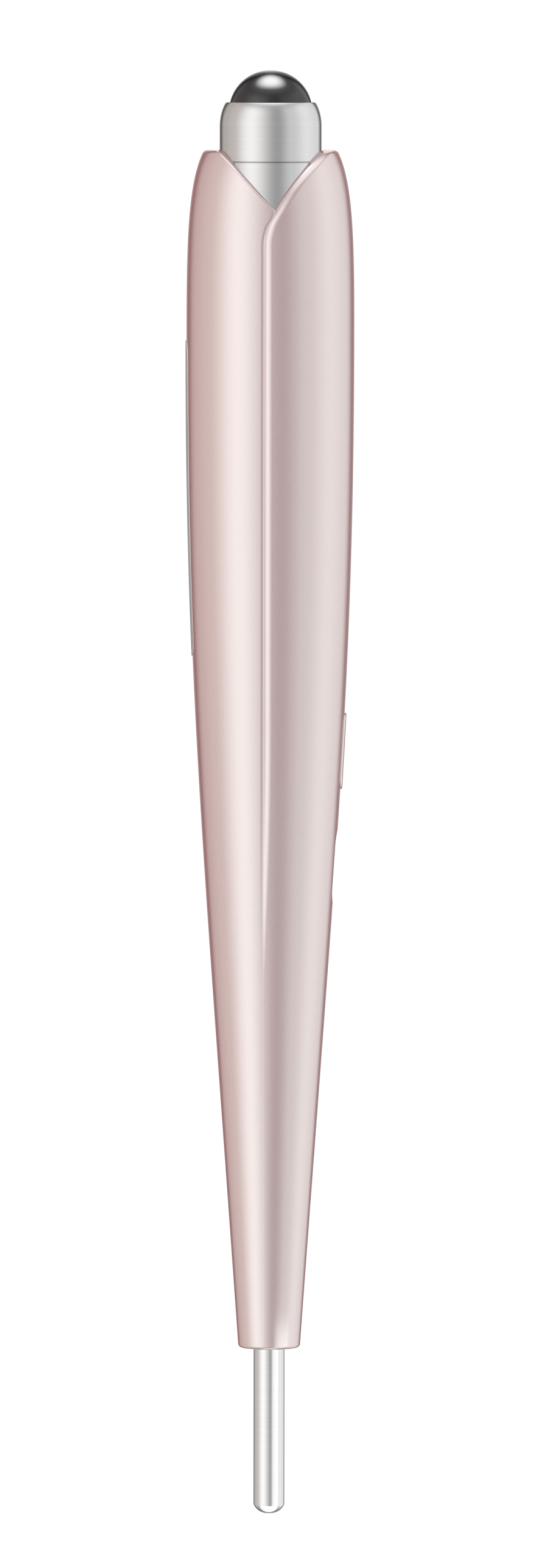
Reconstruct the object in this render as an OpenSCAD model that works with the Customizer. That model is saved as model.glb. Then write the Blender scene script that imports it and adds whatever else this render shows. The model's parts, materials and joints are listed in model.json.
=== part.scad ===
// Facial massage stick: a slim tulip-shaped handle with a roller ball at one end
// and a round metal probe at the other. It lies on its side, ball towards +X,
// with the notch between the two petals facing up.

/* [Overall] */
// Length of the casing from its lower end to the petal tips
body_len = 157.6; // [153:0.2:166]
// Largest diameter of the casing
body_d = 22; // [21.6:0.1:24]
// Distance from the petal tips down to the widest place
wide_from_tip = 23.5; // [20:0.5:27]
// Diameter of the casing at its lower end
end_d = 8.1; // [7.9:0.1:9]
// Outer diameter across the petal tips
tip_d = 17.4; // [17:0.1:18]

/* [Casing] */
// Wall thickness of the two casing halves
wall = 1.7; // [1.5:0.05:1.8]
// Height of the step where one petal lies over the other, at the notch
petal_step = 0.4; // [0.2:0.05:0.6]
// Depth of the notch between the petals
notch_depth = 7.8; // [7:0.1:8.6]
// Sideways offset of the long seam from the middle of the front
seam_offset = 1.05; // [0.8:0.05:1.4]
// Width of the lap joint under the seam
lap_w = 1.4; // [1:0.1:1.8]
// Open gap along the seam
seam_gap = 0.1; // [0.05:0.01:0.15]
// Radius of the rounded rim at the lower end
rim_r = 0.45; // [0.3:0.05:0.6]
// Height of the thick petal roots that hold the neck
root_h = 11.2; // [10.6:0.1:12]
// Thickness of the end wall around the probe rod
end_wall = 3.8; // [3.4:0.1:4.4]
// Depth of the narrow flat along the back that keeps the stick from rolling away
rest_depth = 0.2; // [0.15:0.01:0.3]
// Length of the flat along the back
rest_l = 100; // [80:5:110]
// Distance from the petal tips to the middle of the flat along the back
rest_from_tip = 51; // [48:1:54]

/* [Head] */
// Diameter of the roller ball
ball_d = 11; // [10.6:0.1:11.2]
// Height of the collar top above the petal tips
head_out = 6.2; // [5.8:0.1:7]
// Depth of the ball's centre below the collar top
ball_sink = 1.25; // [1.1:0.05:1.5]
// Outer diameter of the collar and the neck
collar_d = 13.4; // [13.2:0.1:13.6]
// Height of the collar
collar_h = 7.75; // [7.4:0.05:8]
// Gap between the petals and the collar
petal_gap = 0.25; // [0.2:0.05:0.4]
// Thickness of the neck flange under the petal roots
flange_h = 2.1; // [1.6:0.1:2.6]
// Diameter of the neck spigot in the inner frame
spigot_d = 9; // [8.4:0.2:10]
// Length of the neck spigot
spigot_h = 6.5; // [5:0.5:7]
// Wire thickness of the contact spring
spring_wire = 0.4; // [0.3:0.05:0.45]
// Number of turns of the contact spring
spring_turns = 7; // [5:1:8]

/* [Probe] */
// Diameter of the probe rod
rod_d = 4.1; // [3.9:0.05:4.2]
// Length of the rod outside the casing
rod_out = 21.7; // [16:0.1:28]
// Height of the domed rod tip
rod_dome = 1.2; // [0.8:0.1:1.8]
// Diameter of the rod inside its holder
core_d = 3.5; // [3.2:0.05:3.6]
// Gap between the rod holder and the inner frame
tail_gap = 6.5; // [6:0.25:7.5]

/* [Button] */
// Length of the button
button_l = 10.1; // [8:0.1:10.6]
// Width of the button
button_w = 3.5; // [3:0.1:4]
// Height of the button above the casing
button_proud = 0.25; // [0.2:0.05:0.4]
// Distance from the petal tips to the middle of the button
button_from_tip = 78.75; // [77.5:0.25:80]
// Travel of the button
button_travel = 0.3; // [0.2:0.05:0.4]

/* [Charging port] */
// Length of the shallow flat around the charging port
flat_l = 9.7; // [9:0.1:10.5]
// Width of the shallow flat around the charging port
flat_w = 3.8; // [3.6:0.1:4.4]
// Depth of the shallow flat
flat_depth = 0.18; // [0.1:0.02:0.3]
// Distance from the petal tips to the middle of the port
port_from_tip = 93.85; // [93:0.25:95]
// Length of the socket's metal shell
socket_l = 7.5; // [7:0.1:7.8]
// Width of the socket's metal shell
socket_w = 2.6; // [2.4:0.1:2.8]

/* [Palm strip] */
// Length of the palm electrode strip
strip_l = 41.4; // [41:0.2:43]
// Width of the palm electrode strip
strip_w = 4; // [3.6:0.1:4.6]
// Height of the strip's crown above the casing
strip_proud = 0.14; // [0.08:0.02:0.2]
// Distance from the petal tips to the middle of the strip
strip_from_tip = 45.6; // [45:0.1:46]

/* [Inside] */
// Thickness of the inner frame
frame_wall = 1; // [0.8:0.1:1.2]
// Thickness of the circuit board
board_t = 1; // [0.8:0.1:1.2]
// Length of the circuit board beyond the middle of the control chip
board_tail = 11.5; // [9:0.5:12]
// Width of the battery cell
cell_w = 12; // [10:0.5:12.5]
// Thickness of the battery cell
cell_t = 7; // [6:0.5:7]
// Gap between the battery cell and the screw posts
cell_gap = 0.9; // [0.8:0.05:1.2]
// Diameter of the case screws
screw_d = 1.6; // [1.4:0.1:1.8]
// Diameter of the wires
lead_d = 0.8; // [0.6:0.05:0.9]

/* [Hidden] */

// Running fit, loose fit, and the gap around the button
fit = 0.05;
loose = 0.15;
button_gap = 0.08;
// Steps along the curves of the outline and of the petal edges
curve_steps = 14;
petal_steps = 10;
fine = 96;
// Reach of cutting shapes beyond what they cut
past = 2;

// Heights along the stick, counted from the tip of the probe rod
end_z = rod_out;
tip_z = end_z + body_len;
wide_z = tip_z - wide_from_tip;
notch_z = tip_z - notch_depth;
root_z = tip_z - root_h;
collar_top_z = tip_z + head_out;
collar_z = collar_top_z - collar_h;
ball_z = collar_top_z - ball_sink;
stick_len = ball_z + ball_d / 2;
button_z = tip_z - button_from_tip;
port_z = tip_z - port_from_tip;
strip_z = tip_z - strip_from_tip;
rest_z = tip_z - rest_from_tip;

// Radii
body_r = body_d / 2;
end_r = end_d / 2;
tip_r = tip_d / 2;
ball_r = ball_d / 2;
collar_r = collar_d / 2;
bore_r = collar_r + petal_gap;
rod_r = rod_d / 2;
core_r = core_d / 2;
spigot_r = spigot_d / 2;
nest_r = ball_r + fit;

// A point on a cubic curve, a run of such points, and a run of points on an arc
function bez(a, b, c, d, t) =
    pow(1 - t, 3) * a + 3 * pow(1 - t, 2) * t * b + 3 * (1 - t) * t * t * c + t * t * t * d;
function bez_line(a, b, c, d, n) = [for (i = [0:n]) bez(a, b, c, d, i / n)];
function arc(c, r, a0, a1, n) =
    [for (i = [0:n]) let (a = a0 + (a1 - a0) * i / n) c + r * [cos(a), sin(a)]];
// Distance along one side of a right triangle
function leg(hyp, other) = sqrt(hyp * hyp - other * other);

// Outline of the casing as [radius, height]: rounded rim, long belly, shoulder
cone_slope = 0.072;
cone_reach = 70;
belly_reach = 45;
shoulder_reach = 12;
brow = [2.1, -4];
outline_low = bez_line(
    [end_r, end_z], [end_r + cone_reach * cone_slope, end_z + cone_reach],
    [body_r, wide_z - belly_reach], [body_r, wide_z], curve_steps);
outline_high = bez_line(
    [body_r, wide_z], [body_r, wide_z + shoulder_reach],
    [tip_r, tip_z] + brow, [tip_r, tip_z], curve_steps);
outline = concat(
    arc([end_r - rim_r, end_z + rim_r], rim_r, -90, -4, 4),
    [for (i = [1:curve_steps]) outline_low[i]],
    [for (i = [1:curve_steps]) outline_high[i]]);
radius_table = [for (p = concat(outline_low, outline_high)) [p[1], p[0]]];
// Outer and inner radius of the casing at a height
function out_r(z) = lookup(z, radius_table);
function in_r(z) = out_r(z) - wall;

// Edge of the upper petal as [sideways, height], from its tip down to the straight seam
over_tip = [bore_r + 0.15, tip_z];
over_edge = bez_line(over_tip, over_tip - [3, 2.55],
    [-seam_offset, notch_z - 0.5], [-seam_offset, notch_z - 4.5], petal_steps);
over_table = [for (p = over_edge) [p[1], p[0]]];
// Straight edge of the lower petal, from its tip through the notch and on below
under_tip = [-bore_r, tip_z];
under_run = [lookup(notch_z, over_table), notch_z] - under_tip;
under_foot = under_tip + 1.35 * under_run;
// The outline leans a little, so that the upper petal stands proud at the notch
lean = atan(petal_step / 2 / (notch_z - end_z));

// Flat along the back as [reach, height]: it fades out at both ends, and its lowest
// point is what the stick rests on
rest_steps = 32;
rest_table = [for (i = [0:rest_steps]) let (s = 1.1 * (2 * i / rest_steps - 1), z = rest_z + s * rest_l / 2)
    [out_r(z) + (z - end_z) * tan(lean) - rest_depth * (1 - s * s), z]];
rest_h = max([for (p = rest_table) p[0]]);

// End wall with its O-ring groove
cavity_z = end_z + end_wall;
ring_d = 0.84;
ring_r = core_r + ring_d / 2 + 0.02;
ring_z = end_z + end_wall / 2;

// Head: flange, spigot, cup and spring
flange_r = bore_r + 1.6;
flange_z = root_z - flange_h;
spigot_z = flange_z - spigot_h;
cup_r = ball_r * 0.83;
nest_z = ball_z - leg(nest_r, cup_r - 0.35);
thread_r = collar_r - 0.75;
cup_z = nest_z - 5.1;
pin_r = 0.8;
pin_head_r = 1.4;
pin_head_h = 1.6;
pin_gap = 1.2;
spring_bore_r = 1.6;
spring_top_z = cup_z - pin_gap - pin_head_h;
spring_z = flange_z - 0.5;
seal_d = 0.84;
seal_z = collar_z + 0.7;

// Case screws and their posts, hidden under the ends of the palm strip
strip_floor = 0.6;
strip_crown = 4.5;
screw_inset = 3;
screw_zs = [strip_z - strip_l / 2 + screw_inset, strip_z + strip_l / 2 - screw_inset];
post_r = screw_d / 2 + 1;
head_r = screw_d / 2 + 0.65;
head_h = 0.9;
head_depth = strip_floor + 1.1;
screw_reach = 5;
stud_d = 1.6;

// Board, from below the chip up to the first screw post, and what stands on it
board_y = board_t;
post_gap = 2.2;
chip_drop = 16;
chip_w = 5;
chip_h = 0.9;
coil_w = 4;
coil_h = 2;
coil_gap = 2;
chip_z = port_z - chip_drop;
coil_z = chip_z + chip_w / 2 + coil_gap + coil_w / 2;
board_top_z = screw_zs[0] - post_r - post_gap;
board_z = chip_z - board_tail;
frame_lip = 2;
frame_z = board_z - frame_lip;
switch_h = 3;
plunger_y = board_y + 4;
plunger_d = 1.6;
plunger_sink = 2.1;
switch_w = 4;
part_size = [0.8, 0.5, 1.6];
part_pitch = 2.6;
led_size = [1.6, 0.6, 0.8];
plug_l = 3.4;
plug_w = 4.5;
plug_h = 3.2;
plug_inset = 1;
plug_z = board_top_z - plug_l - plug_inset;

// Rod holder, which fills the casing from the end wall up to the frame, and its rib
holder_top_z = frame_z - tail_gap;
rib_h = 1.5;
rib_z = (cavity_z + holder_top_z) / 2;
rib_depth = 0.7;
tag_t = 0.25;
clip_t = 0.6;
clip_z = holder_top_z + tag_t;
rod_top_z = clip_z + clip_t + 1.2;
groove_r = core_r - 0.4;

// Button: flat seat inside the shell, flange under it, foot on the switch
button_seat_y = in_r(button_z - button_l / 2 - 1) - 0.65;
button_flange = 0.8;
button_flange_t = 0.75;

// Charging port: mouth of the socket below the flat
socket_wall = 0.25;
socket_gap = 0.2;
socket_floor = 0.8;
tongue_t = 0.7;
tongue_l = 4.8;
socket_y = out_r(port_z - flat_l / 2) - flat_depth - 0.2;

// Battery bay between the screw posts, and frame head
cell_z = screw_zs[0] + post_r + cell_gap;
cell_l = screw_zs[1] - post_r - cell_gap - cell_z;
bay_rib_t = 1;
bay_rib_inset = 4;
head_block_z = spigot_z - 0.5;

// Lays the upright stick on its side, ball towards +X and notch upwards
module lay() {
    translate([-stick_len / 2, 0, rest_h]) rotate([180, 0, 0]) rotate([0, 90, 0]) children();
}

// Turned solid whose radius follows the casing, offset by grow, from z0 to z1
module follow(z0, z1, grow, n = curve_steps) {
    rotate_extrude($fn = fine) polygon(concat([[0, z0]],
        [for (i = [0:n]) let (z = z0 + (z1 - z0) * i / n) [out_r(z) + grow, z]], [[0, z1]]));
}

// Slot-shaped prism on the side of the stick, standing along +Y from y0 to y1
module side_slot(l, w, z, y0, y1) {
    translate([0, y0, z]) rotate([-90, 0, 0]) linear_extrude(y1 - y0) {
        square([w, l - w], center = true);
        for (s = [-1, 1]) translate([0, s * (l - w) / 2]) circle(d = w, $fn = 48);
    }
}

// Round bar along +Y from y0 to y1
module side_bar(d, z, y0, y1) {
    translate([0, y0, z]) rotate([-90, 0, 0]) cylinder(d = d, h = y1 - y0, $fn = 48);
}

// Box on the board: x is its middle, size is [across, height, length], z its lower end
module box(x, y, z, size) {
    translate([x - size[0] / 2, y, z]) cube(size);
}

// Prism seen from the front: pts are [sideways, height], from the mid plane forwards
module front_prism(pts) {
    rotate([90, 0, 90]) linear_extrude(body_d) polygon(pts);
}

// Tube swept along a path, with flat ends
function unit(v) = v / norm(v);
function tangent(path, i) = unit(path[min(i + 1, len(path) - 1)] - path[max(i - 1, 0)]);
function ring(path, i, r, sides, up) = let (
    t = tangent(path, i), u = unit(cross(t, up)), v = cross(t, u))
    [for (k = [0:sides - 1]) path[i] + r * (cos(360 * k / sides) * u + sin(360 * k / sides) * v)];
module tube(path, d, sides, up) {
    n = len(path);
    pts = [for (i = [0:n - 1]) each ring(path, i, d / 2, sides, up)];
    skin = [for (i = [0:n - 2], k = [0:sides - 1])
        let (a = i * sides + k, b = i * sides + (k + 1) % sides)
        each [[a, b + sides, b], [a, a + sides, b + sides]]];
    first = [for (k = [1:sides - 2]) [0, k, k + 1]];
    last = [for (k = [1:sides - 2]) (n - 1) * sides * [1, 1, 1] + [0, k + 1, k]];
    polyhedron(pts, concat(skin, first, last));
}

// Smooth path through hand-chosen points
function spline_point(p, i, t) = let (
    a = p[max(i - 1, 0)], b = p[i], c = p[i + 1], d = p[min(i + 2, len(p) - 1)])
    0.5 * (2 * b + (c - a) * t + (2 * a - 5 * b + 4 * c - d) * t * t
        + (3 * b - a - 3 * c + d) * t * t * t);
function smooth(p, n) = concat(
    [for (i = [0:len(p) - 2], j = [0:n - 1]) spline_point(p, i, j / n)], [p[len(p) - 1]]);
function inner_points(p) = [for (i = [1:len(p) - 2]) p[i]];
// A wire: its first and last stretch are straight, so that it ends square on a face
module lead(p) {
    tube(concat([p[0]], smooth(inner_points(p), 4), [p[len(p) - 1]]), lead_d, 8, [1, 0, 0]);
}

// Parts of the front covered by the upper petal and by the lower one, which reaches
// past the seam by reach
module over_region() {
    front_prism(concat([[body_d, end_z - past], [body_d, tip_z + past], over_tip + [0, past]],
        over_edge, [[-seam_offset, end_z - past]]));
}
module under_region(reach) {
    low_edge = [for (p = over_edge) if (p[1] < notch_z + 1.5) p + [reach, 0]];
    intersection() {
        front_prism([[-body_d, end_z - past], [-body_d, tip_z + past], under_tip + [0, past],
            under_tip, under_foot, [under_foot[0], end_z - past]]);
        front_prism(concat([[-body_d, end_z - past], [-body_d, tip_z + past],
            [body_d, tip_z + past], [body_d, notch_z + 1.5]], low_edge,
            [[reach - seam_offset, end_z - past]]));
    }
}

// Space inside the casing, without the rib that locks the rod holder
module casing_cavity() {
    difference() {
        follow(cavity_z, root_z, -wall, 2 * curve_steps);
        translate([0, 0, rib_z]) difference() {
            cylinder(r = body_r, h = rib_h, $fn = fine);
            translate([0, 0, -past])
                cylinder(r = in_r(rib_z) - rib_depth, h = rib_h + 2 * past, $fn = fine);
        }
    }
    translate([0, 0, root_z - 1]) cylinder(r = bore_r, h = root_h + past, $fn = fine);
    translate([0, 0, end_z - past]) cylinder(r = core_r + fit, h = end_wall + 2 * past, $fn = fine);
    translate([0, 0, ring_z - ring_d / 2 - fit])
        cylinder(r = ring_r + ring_d / 2 + 0.02, h = ring_d + 2 * fit, $fn = fine);
}
module casing_blank() {
    difference() {
        translate([0, 0, end_z]) rotate([0, lean, 0]) translate([0, 0, -end_z])
            rotate_extrude($fn = fine) polygon(concat([[0, end_z]], outline, [[0, tip_z]]));
        casing_cavity();
    }
}

// Inner half of the wall, where the lap joint runs up to just below the notch
module lap_core(grow) {
    follow(end_z - 1, notch_z - 0.6, grow - wall / 2, 2 * curve_steps);
}

// One casing half on the +Y side: its front edge lies over, its back edge lies under
module shell_half() {
    difference() {
        union() {
            intersection() {
                casing_blank();
                union() {
                    over_region();
                    rotate([0, 0, 180]) under_region(-seam_gap);
                }
            }
            intersection() {
                casing_blank();
                lap_core(0);
                rotate([0, 0, 180]) under_region(lap_w);
            }
        }
        intersection() {
            lap_core(seam_gap);
            under_region(lap_w + seam_gap);
        }
    }
}

// What the flat along the back cuts away, seen from the half that lies over there
module rest_cut() {
    translate([0, body_r, 0]) rotate([90, 0, 0]) linear_extrude(body_d) polygon(concat(
        rest_table, [[body_d, rest_table[rest_steps][1]], [body_d, rest_table[0][1]]]));
}

// Posts that the case screws pull together, fused to the inner wall
module posts() {
    intersection() {
        for (z = screw_zs) side_bar(2 * post_r, z, fit, body_r);
        follow(cavity_z, root_z, -wall / 2);
    }
}

// Outline of the charging socket, grown by g: two corners are cut off
function socket_outline(g) = let (
    a = socket_w / 2 + g, b = socket_l / 2 + g, c = 0.7)
    [[-a, -b], [a - c, -b], [a, -b + c], [a, b - c], [a - c, b], [-a, b]];
module socket_prism(g, y0, y1) {
    translate([0, y0, port_z]) rotate([-90, 0, 0]) linear_extrude(y1 - y0)
        polygon(socket_outline(g));
}

module button_shell() {
    color("#e2c8c4") lay() difference() {
        union() {
            shell_half();
            posts();
            intersection() {
                side_slot(button_l + 3, button_w + 3, button_z, button_seat_y, body_r);
                follow(cavity_z, root_z, -wall / 2);
            }
        }
        for (z = screw_zs) side_bar(screw_d + 0.04, z, -1, screw_reach + 0.5);
        side_slot(button_l + 2 * button_gap, button_w + 2 * button_gap, button_z, 0, body_d);
        difference() {
            side_slot(flat_l, flat_w, port_z, 0, body_d);
            follow(port_z - flat_l, port_z + flat_l, -flat_depth);
        }
        socket_prism(socket_gap, 0, body_d);
    }
}

module palm_shell() {
    color("#e2c8c4") lay() rotate([0, 0, 180]) difference() {
        union() {
            shell_half();
            posts();
        }
        rest_cut();
        difference() {
            side_slot(strip_l + 2 * fit, strip_w + 2 * fit, strip_z, 0, body_d);
            follow(strip_z - strip_l, root_z, -strip_floor);
        }
        for (z = screw_zs) {
            side_bar(screw_d + 2 * fit, z, -1, body_d);
            side_bar(2 * head_r + 2 * fit, z, out_r(z) - head_depth, body_d);
        }
        side_bar(stud_d + 2 * fit, strip_z, 0, body_d);
    }
}

module palm_strip() {
    color("#c9ccca") lay() rotate([0, 0, 180]) {
        difference() {
            intersection() {
                side_slot(strip_l, strip_w, strip_z, 0, body_d);
                translate([0, strip_crown + strip_proud, 0])
                    follow(strip_z - strip_l, root_z, -strip_crown);
            }
            follow(strip_z - strip_l, root_z, -strip_floor);
        }
        side_bar(stud_d, strip_z, leaf_y(strip_z), out_r(strip_z) - strip_floor / 2);
    }
}

// Leaf that leads the strip's stud to its wire, lying on the floor of the frame
leaf_w = 2.4;
leaf_t = 0.25;
leaf_l = 11;
leaf_foot = 2.5;
leaf_z = strip_z - leaf_l;
leaf_rise = 0.7;
function floor_r(z) = in_r(z) - fit - frame_wall;
function leaf_y(z) = floor_r(z) - 0.14;
module strip_contact() {
    a = leaf_y(leaf_z) - leaf_rise;
    b = leaf_y(leaf_z + leaf_foot);
    c = leaf_y(strip_z);
    pad = stud_d / 2 + 0.4;
    color("#d8b45c") lay() rotate([0, 0, 180]) translate([-leaf_w / 2, 0, 0])
        rotate([90, 0, 90]) linear_extrude(leaf_w) polygon([
            [a, leaf_z], [b, leaf_z + leaf_foot], [c, strip_z - pad], [c, strip_z + pad],
            [c - leaf_t, strip_z + pad], [c - leaf_t, strip_z - pad],
            [b - leaf_t, leaf_z + leaf_foot], [a - leaf_t, leaf_z]]);
}

module case_screws() {
    color("#9a9ca0") lay() rotate([0, 0, 180]) for (z = screw_zs) {
        head_y = out_r(z) - head_depth;
        side_bar(screw_d, z, -screw_reach, head_y + 0.3);
        difference() {
            side_bar(2 * head_r, z, head_y, head_y + head_h);
            for (turn = [0, 90]) translate([0, head_y + 0.45, z]) rotate([0, turn, 0])
                translate([-0.75, 0, -0.15]) cube([1.5, 1, 0.3]);
        }
    }
}

// Chassis: trough on the palm side, battery ribs, and the block that takes the neck
module inner_frame() {
    floor_gap = wall + fit + frame_wall;
    color("#e9e7e1") lay() difference() {
        union() {
            intersection() {
                difference() {
                    follow(frame_z, flange_z, -wall - fit, 2 * curve_steps);
                    follow(frame_z - 1, head_block_z, -floor_gap, 2 * curve_steps);
                }
                union() {
                    translate([-body_r, -body_r, frame_z])
                        cube([body_d, body_r, flange_z - frame_z]);
                    translate([-body_r, -body_r, head_block_z])
                        cube([body_d, body_d, flange_z - head_block_z]);
                }
            }
            for (z = [cell_z + bay_rib_inset, cell_z + cell_l - bay_rib_inset - bay_rib_t])
                intersection() {
                    follow(frame_z, flange_z, -wall - fit, 2 * curve_steps);
                    difference() {
                        translate([-body_r, -body_r, z]) cube([body_d, body_r, bay_rib_t]);
                        translate([-cell_w / 2 - fit, -cell_t / 2 - fit, z - 1])
                            cube([cell_w + 2 * fit, body_r, bay_rib_t + 2]);
                        translate([-leaf_w, -body_r, z - 1])
                            cube([2 * leaf_w, body_r, bay_rib_t + 2]);
                    }
                }
        }
        translate([0, 0, head_block_z - 1])
            cylinder(r = spigot_r + fit, h = flange_z - head_block_z + past, $fn = fine);
        rotate([0, 0, 180]) {
            for (z = screw_zs) side_bar(2 * post_r + 2 * loose, z, 0, body_r);
            side_bar(stud_d + 2, strip_z, 0, body_r);
        }
    }
}

module battery_cell() {
    soft = 1.2;
    color("#8fa0b5") lay() translate([0, 0, cell_z]) linear_extrude(cell_l) union() {
        square([cell_w - 2 * soft, cell_t], center = true);
        square([cell_w, cell_t - 2 * soft], center = true);
        for (x = [-1, 1], y = [-1, 1])
            translate([x * (cell_w / 2 - soft), y * (cell_t / 2 - soft)])
                circle(r = soft, $fn = 32);
    }
}

module battery_plug() {
    color("#f2efe6") lay() box(0, board_y, plug_z, [plug_w, plug_h, plug_l]);
}

// Wires: straight end, distance past the screw posts, solder point from the board's end
lead_end = 0.8;
lead_pass = 1.2;
land = 2.8;

// The two battery wires pass the screw post on either side
module battery_lead(side) {
    plug_x = 1;
    pass_x = post_r + lead_pass;
    lead([[side * plug_x, board_y + plug_h / 2, plug_z + plug_l],
        [side * plug_x, board_y + plug_h / 2, plug_z + plug_l + lead_end],
        [side * (pass_x - 0.3), board_y + 1.3, screw_zs[0] - post_r + 0.4],
        [side * pass_x, board_y + 1, screw_zs[0] + post_r - 0.8],
        [side * pass_x, board_y + 1, cell_z - lead_end],
        [side * pass_x, board_y + 1, cell_z]]);
}
module battery_lead_red() {
    color("#b3261e") lay() battery_lead(1);
}
module battery_lead_black() {
    color("#232323") lay() battery_lead(-1);
}

// Board edges rest on the rims of the frame's trough
function rest_x(z) = floor_r(z) + frame_wall / 2;
module circuit_board() {
    a = rest_x(board_z);
    b = rest_x(board_top_z);
    color("#2f7a4f") lay() rotate([90, 0, 0]) translate([0, 0, -board_t])
        linear_extrude(board_t) polygon([[-a, board_z], [a, board_z], [b, board_top_z], [-b, board_top_z]]);
}

module control_chip() {
    color("#26282b") lay() box(0, board_y, chip_z - chip_w / 2, [chip_w, chip_h, chip_w]);
}

module boost_coil() {
    color("#4a4c50") lay() difference() {
        box(0, board_y, coil_z - coil_w / 2, [coil_w, coil_h, coil_w]);
        side_bar(coil_w * 0.62, coil_z, board_y + coil_h - 0.3, board_y + coil_h + 1);
    }
}

// Small capacitors and resistors in two rows beside the chip
module chip_parts() {
    color("#b89c74") lay() for (i = [0:3], s = [-1, 1])
        box(s * (chip_w / 2 + 1.1), board_y, chip_z - 4.8 + i * part_pitch, part_size);
}

module status_led() {
    led_z = (port_z + socket_l / 2 + button_z - switch_w / 2 - led_size[2]) / 2;
    color("#f4f1c8") lay() box(0, board_y, led_z, led_size);
}

module tact_switch() {
    color("#c8cbd0") lay() difference() {
        box(0, board_y, button_z - switch_w / 2, [switch_w, switch_h, switch_w]);
        side_bar(plunger_d + 2 * fit, button_z,
            plunger_y - plunger_sink - button_travel - 0.1, body_r);
    }
}

module switch_plunger() {
    color("#3a3b3e") lay() side_bar(plunger_d, button_z, plunger_y - plunger_sink, plunger_y);
}

module push_button() {
    under = button_seat_y - fit - button_flange_t;
    color("#e2c8c4") lay() {
        intersection() {
            side_slot(button_l, button_w, button_z, under, body_d);
            follow(button_z - button_l, button_z + button_l, button_proud);
        }
        side_slot(button_l + 2 * button_flange, button_w + 2 * button_flange, button_z,
            under, button_seat_y - fit);
        side_bar(plunger_d + 0.8, button_z, plunger_y, under + 0.1);
    }
}

module charging_socket() {
    color("#b9bcc0") lay() difference() {
        socket_prism(0, board_y, socket_y);
        socket_prism(-socket_wall, board_y + socket_floor, socket_y + 1);
    }
}

module socket_tongue() {
    color("#2b2c2e") lay()
        box(-0.25, board_y + socket_floor, port_z - tongue_l / 2,
            [tongue_t, socket_y - board_y - 2 * socket_floor, tongue_l]);
}

module roller_ball() {
    color("#2c2d30") lay() translate([0, 0, ball_z]) sphere(r = ball_r, $fn = fine);
}

// Collar: rounded shoulder outside, thread bore and ball nest inside
module collar_profile() {
    chamfer = 0.12;
    shoulder = bez_line([collar_r, collar_top_z - 3.1], [collar_r, collar_top_z - 1.6],
        [collar_r - 0.45, collar_top_z - 0.2], [collar_r - 0.8, collar_top_z], 8);
    a0 = asin((nest_z - ball_z) / nest_r);
    a1 = asin(ball_sink / nest_r);
    polygon(concat(
        [[thread_r + fit, collar_z], [collar_r - chamfer, collar_z], [collar_r, collar_z + chamfer]],
        shoulder,
        arc([0, ball_z], nest_r, a1, a0, 10),
        [[thread_r + fit, nest_z]]));
}
module ball_collar() {
    color("#c4c7c6") lay() rotate_extrude($fn = fine) collar_profile();
}

// Bearing cup that the ball rolls in, with the hole for the contact pin
module ball_cup() {
    color("#f4f3ee") lay() difference() {
        translate([0, 0, cup_z]) cylinder(r = cup_r, h = nest_z - cup_z, $fn = fine);
        translate([0, 0, ball_z]) sphere(r = nest_r, $fn = fine);
        translate([0, 0, cup_z - 1]) cylinder(r = pin_r + fit, h = nest_z, $fn = 48);
    }
}

module contact_pin() {
    pin_z = ball_z - ball_r - fit;
    color("#cfa64a") lay() {
        translate([0, 0, spring_top_z]) cylinder(r = pin_head_r, h = pin_head_h, $fn = 48);
        translate([0, 0, spring_top_z]) cylinder(r = pin_r, h = pin_z - pin_r - spring_top_z, $fn = 48);
        translate([0, 0, pin_z - pin_r]) sphere(r = pin_r, $fn = 48);
    }
}

// Unbroken coil between the floor of the neck's bore and the pin's head
spring_r = spring_bore_r - fit - spring_wire / 2;
spring_h = spring_top_z - spring_z - spring_wire;
coil_rings = 12;
echo(spring_gap = spring_h / spring_turns - spring_wire);
module contact_spring() {
    n = coil_rings * spring_turns;
    path = [for (i = [0:n]) let (a = 360 * i / coil_rings)
        [spring_r * cos(a), spring_r * sin(a), spring_z + spring_wire / 2 + spring_h * i / n]];
    color("#c9ccd0") lay() tube(path, spring_wire, 6, [0, 0, 1]);
}

module collar_seal() {
    color("#2a2a2a") lay() translate([0, 0, seal_z]) rotate_extrude($fn = fine)
        translate([thread_r - seal_d / 2, 0]) circle(d = seal_d, $fn = 24);
}

// Neck: flange held by the petal roots, visible cylinder, thread spigot and cup bore
module neck() {
    chamfer = 0.12;
    groove_h = seal_d + 2 * fit;
    color("#c4c7c6") lay() difference() {
        rotate_extrude($fn = fine) polygon([
            [0, spigot_z], [spigot_r - 0.3, spigot_z], [spigot_r, spigot_z + 0.3],
            [spigot_r, flange_z], [flange_r, flange_z], [flange_r, root_z], [collar_r, root_z],
            [collar_r, collar_z - chamfer], [collar_r - chamfer, collar_z],
            [thread_r, collar_z], [thread_r, seal_z - groove_h / 2],
            [thread_r - seal_d - 0.02, seal_z - groove_h / 2],
            [thread_r - seal_d - 0.02, seal_z + groove_h / 2], [thread_r, seal_z + groove_h / 2],
            [thread_r, nest_z], [0, nest_z]]);
        translate([0, 0, cup_z]) cylinder(r = cup_r + 0.02, h = body_r, $fn = fine);
        translate([0, 0, spring_z]) cylinder(r = spring_bore_r, h = body_r, $fn = 48);
    }
}

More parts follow.
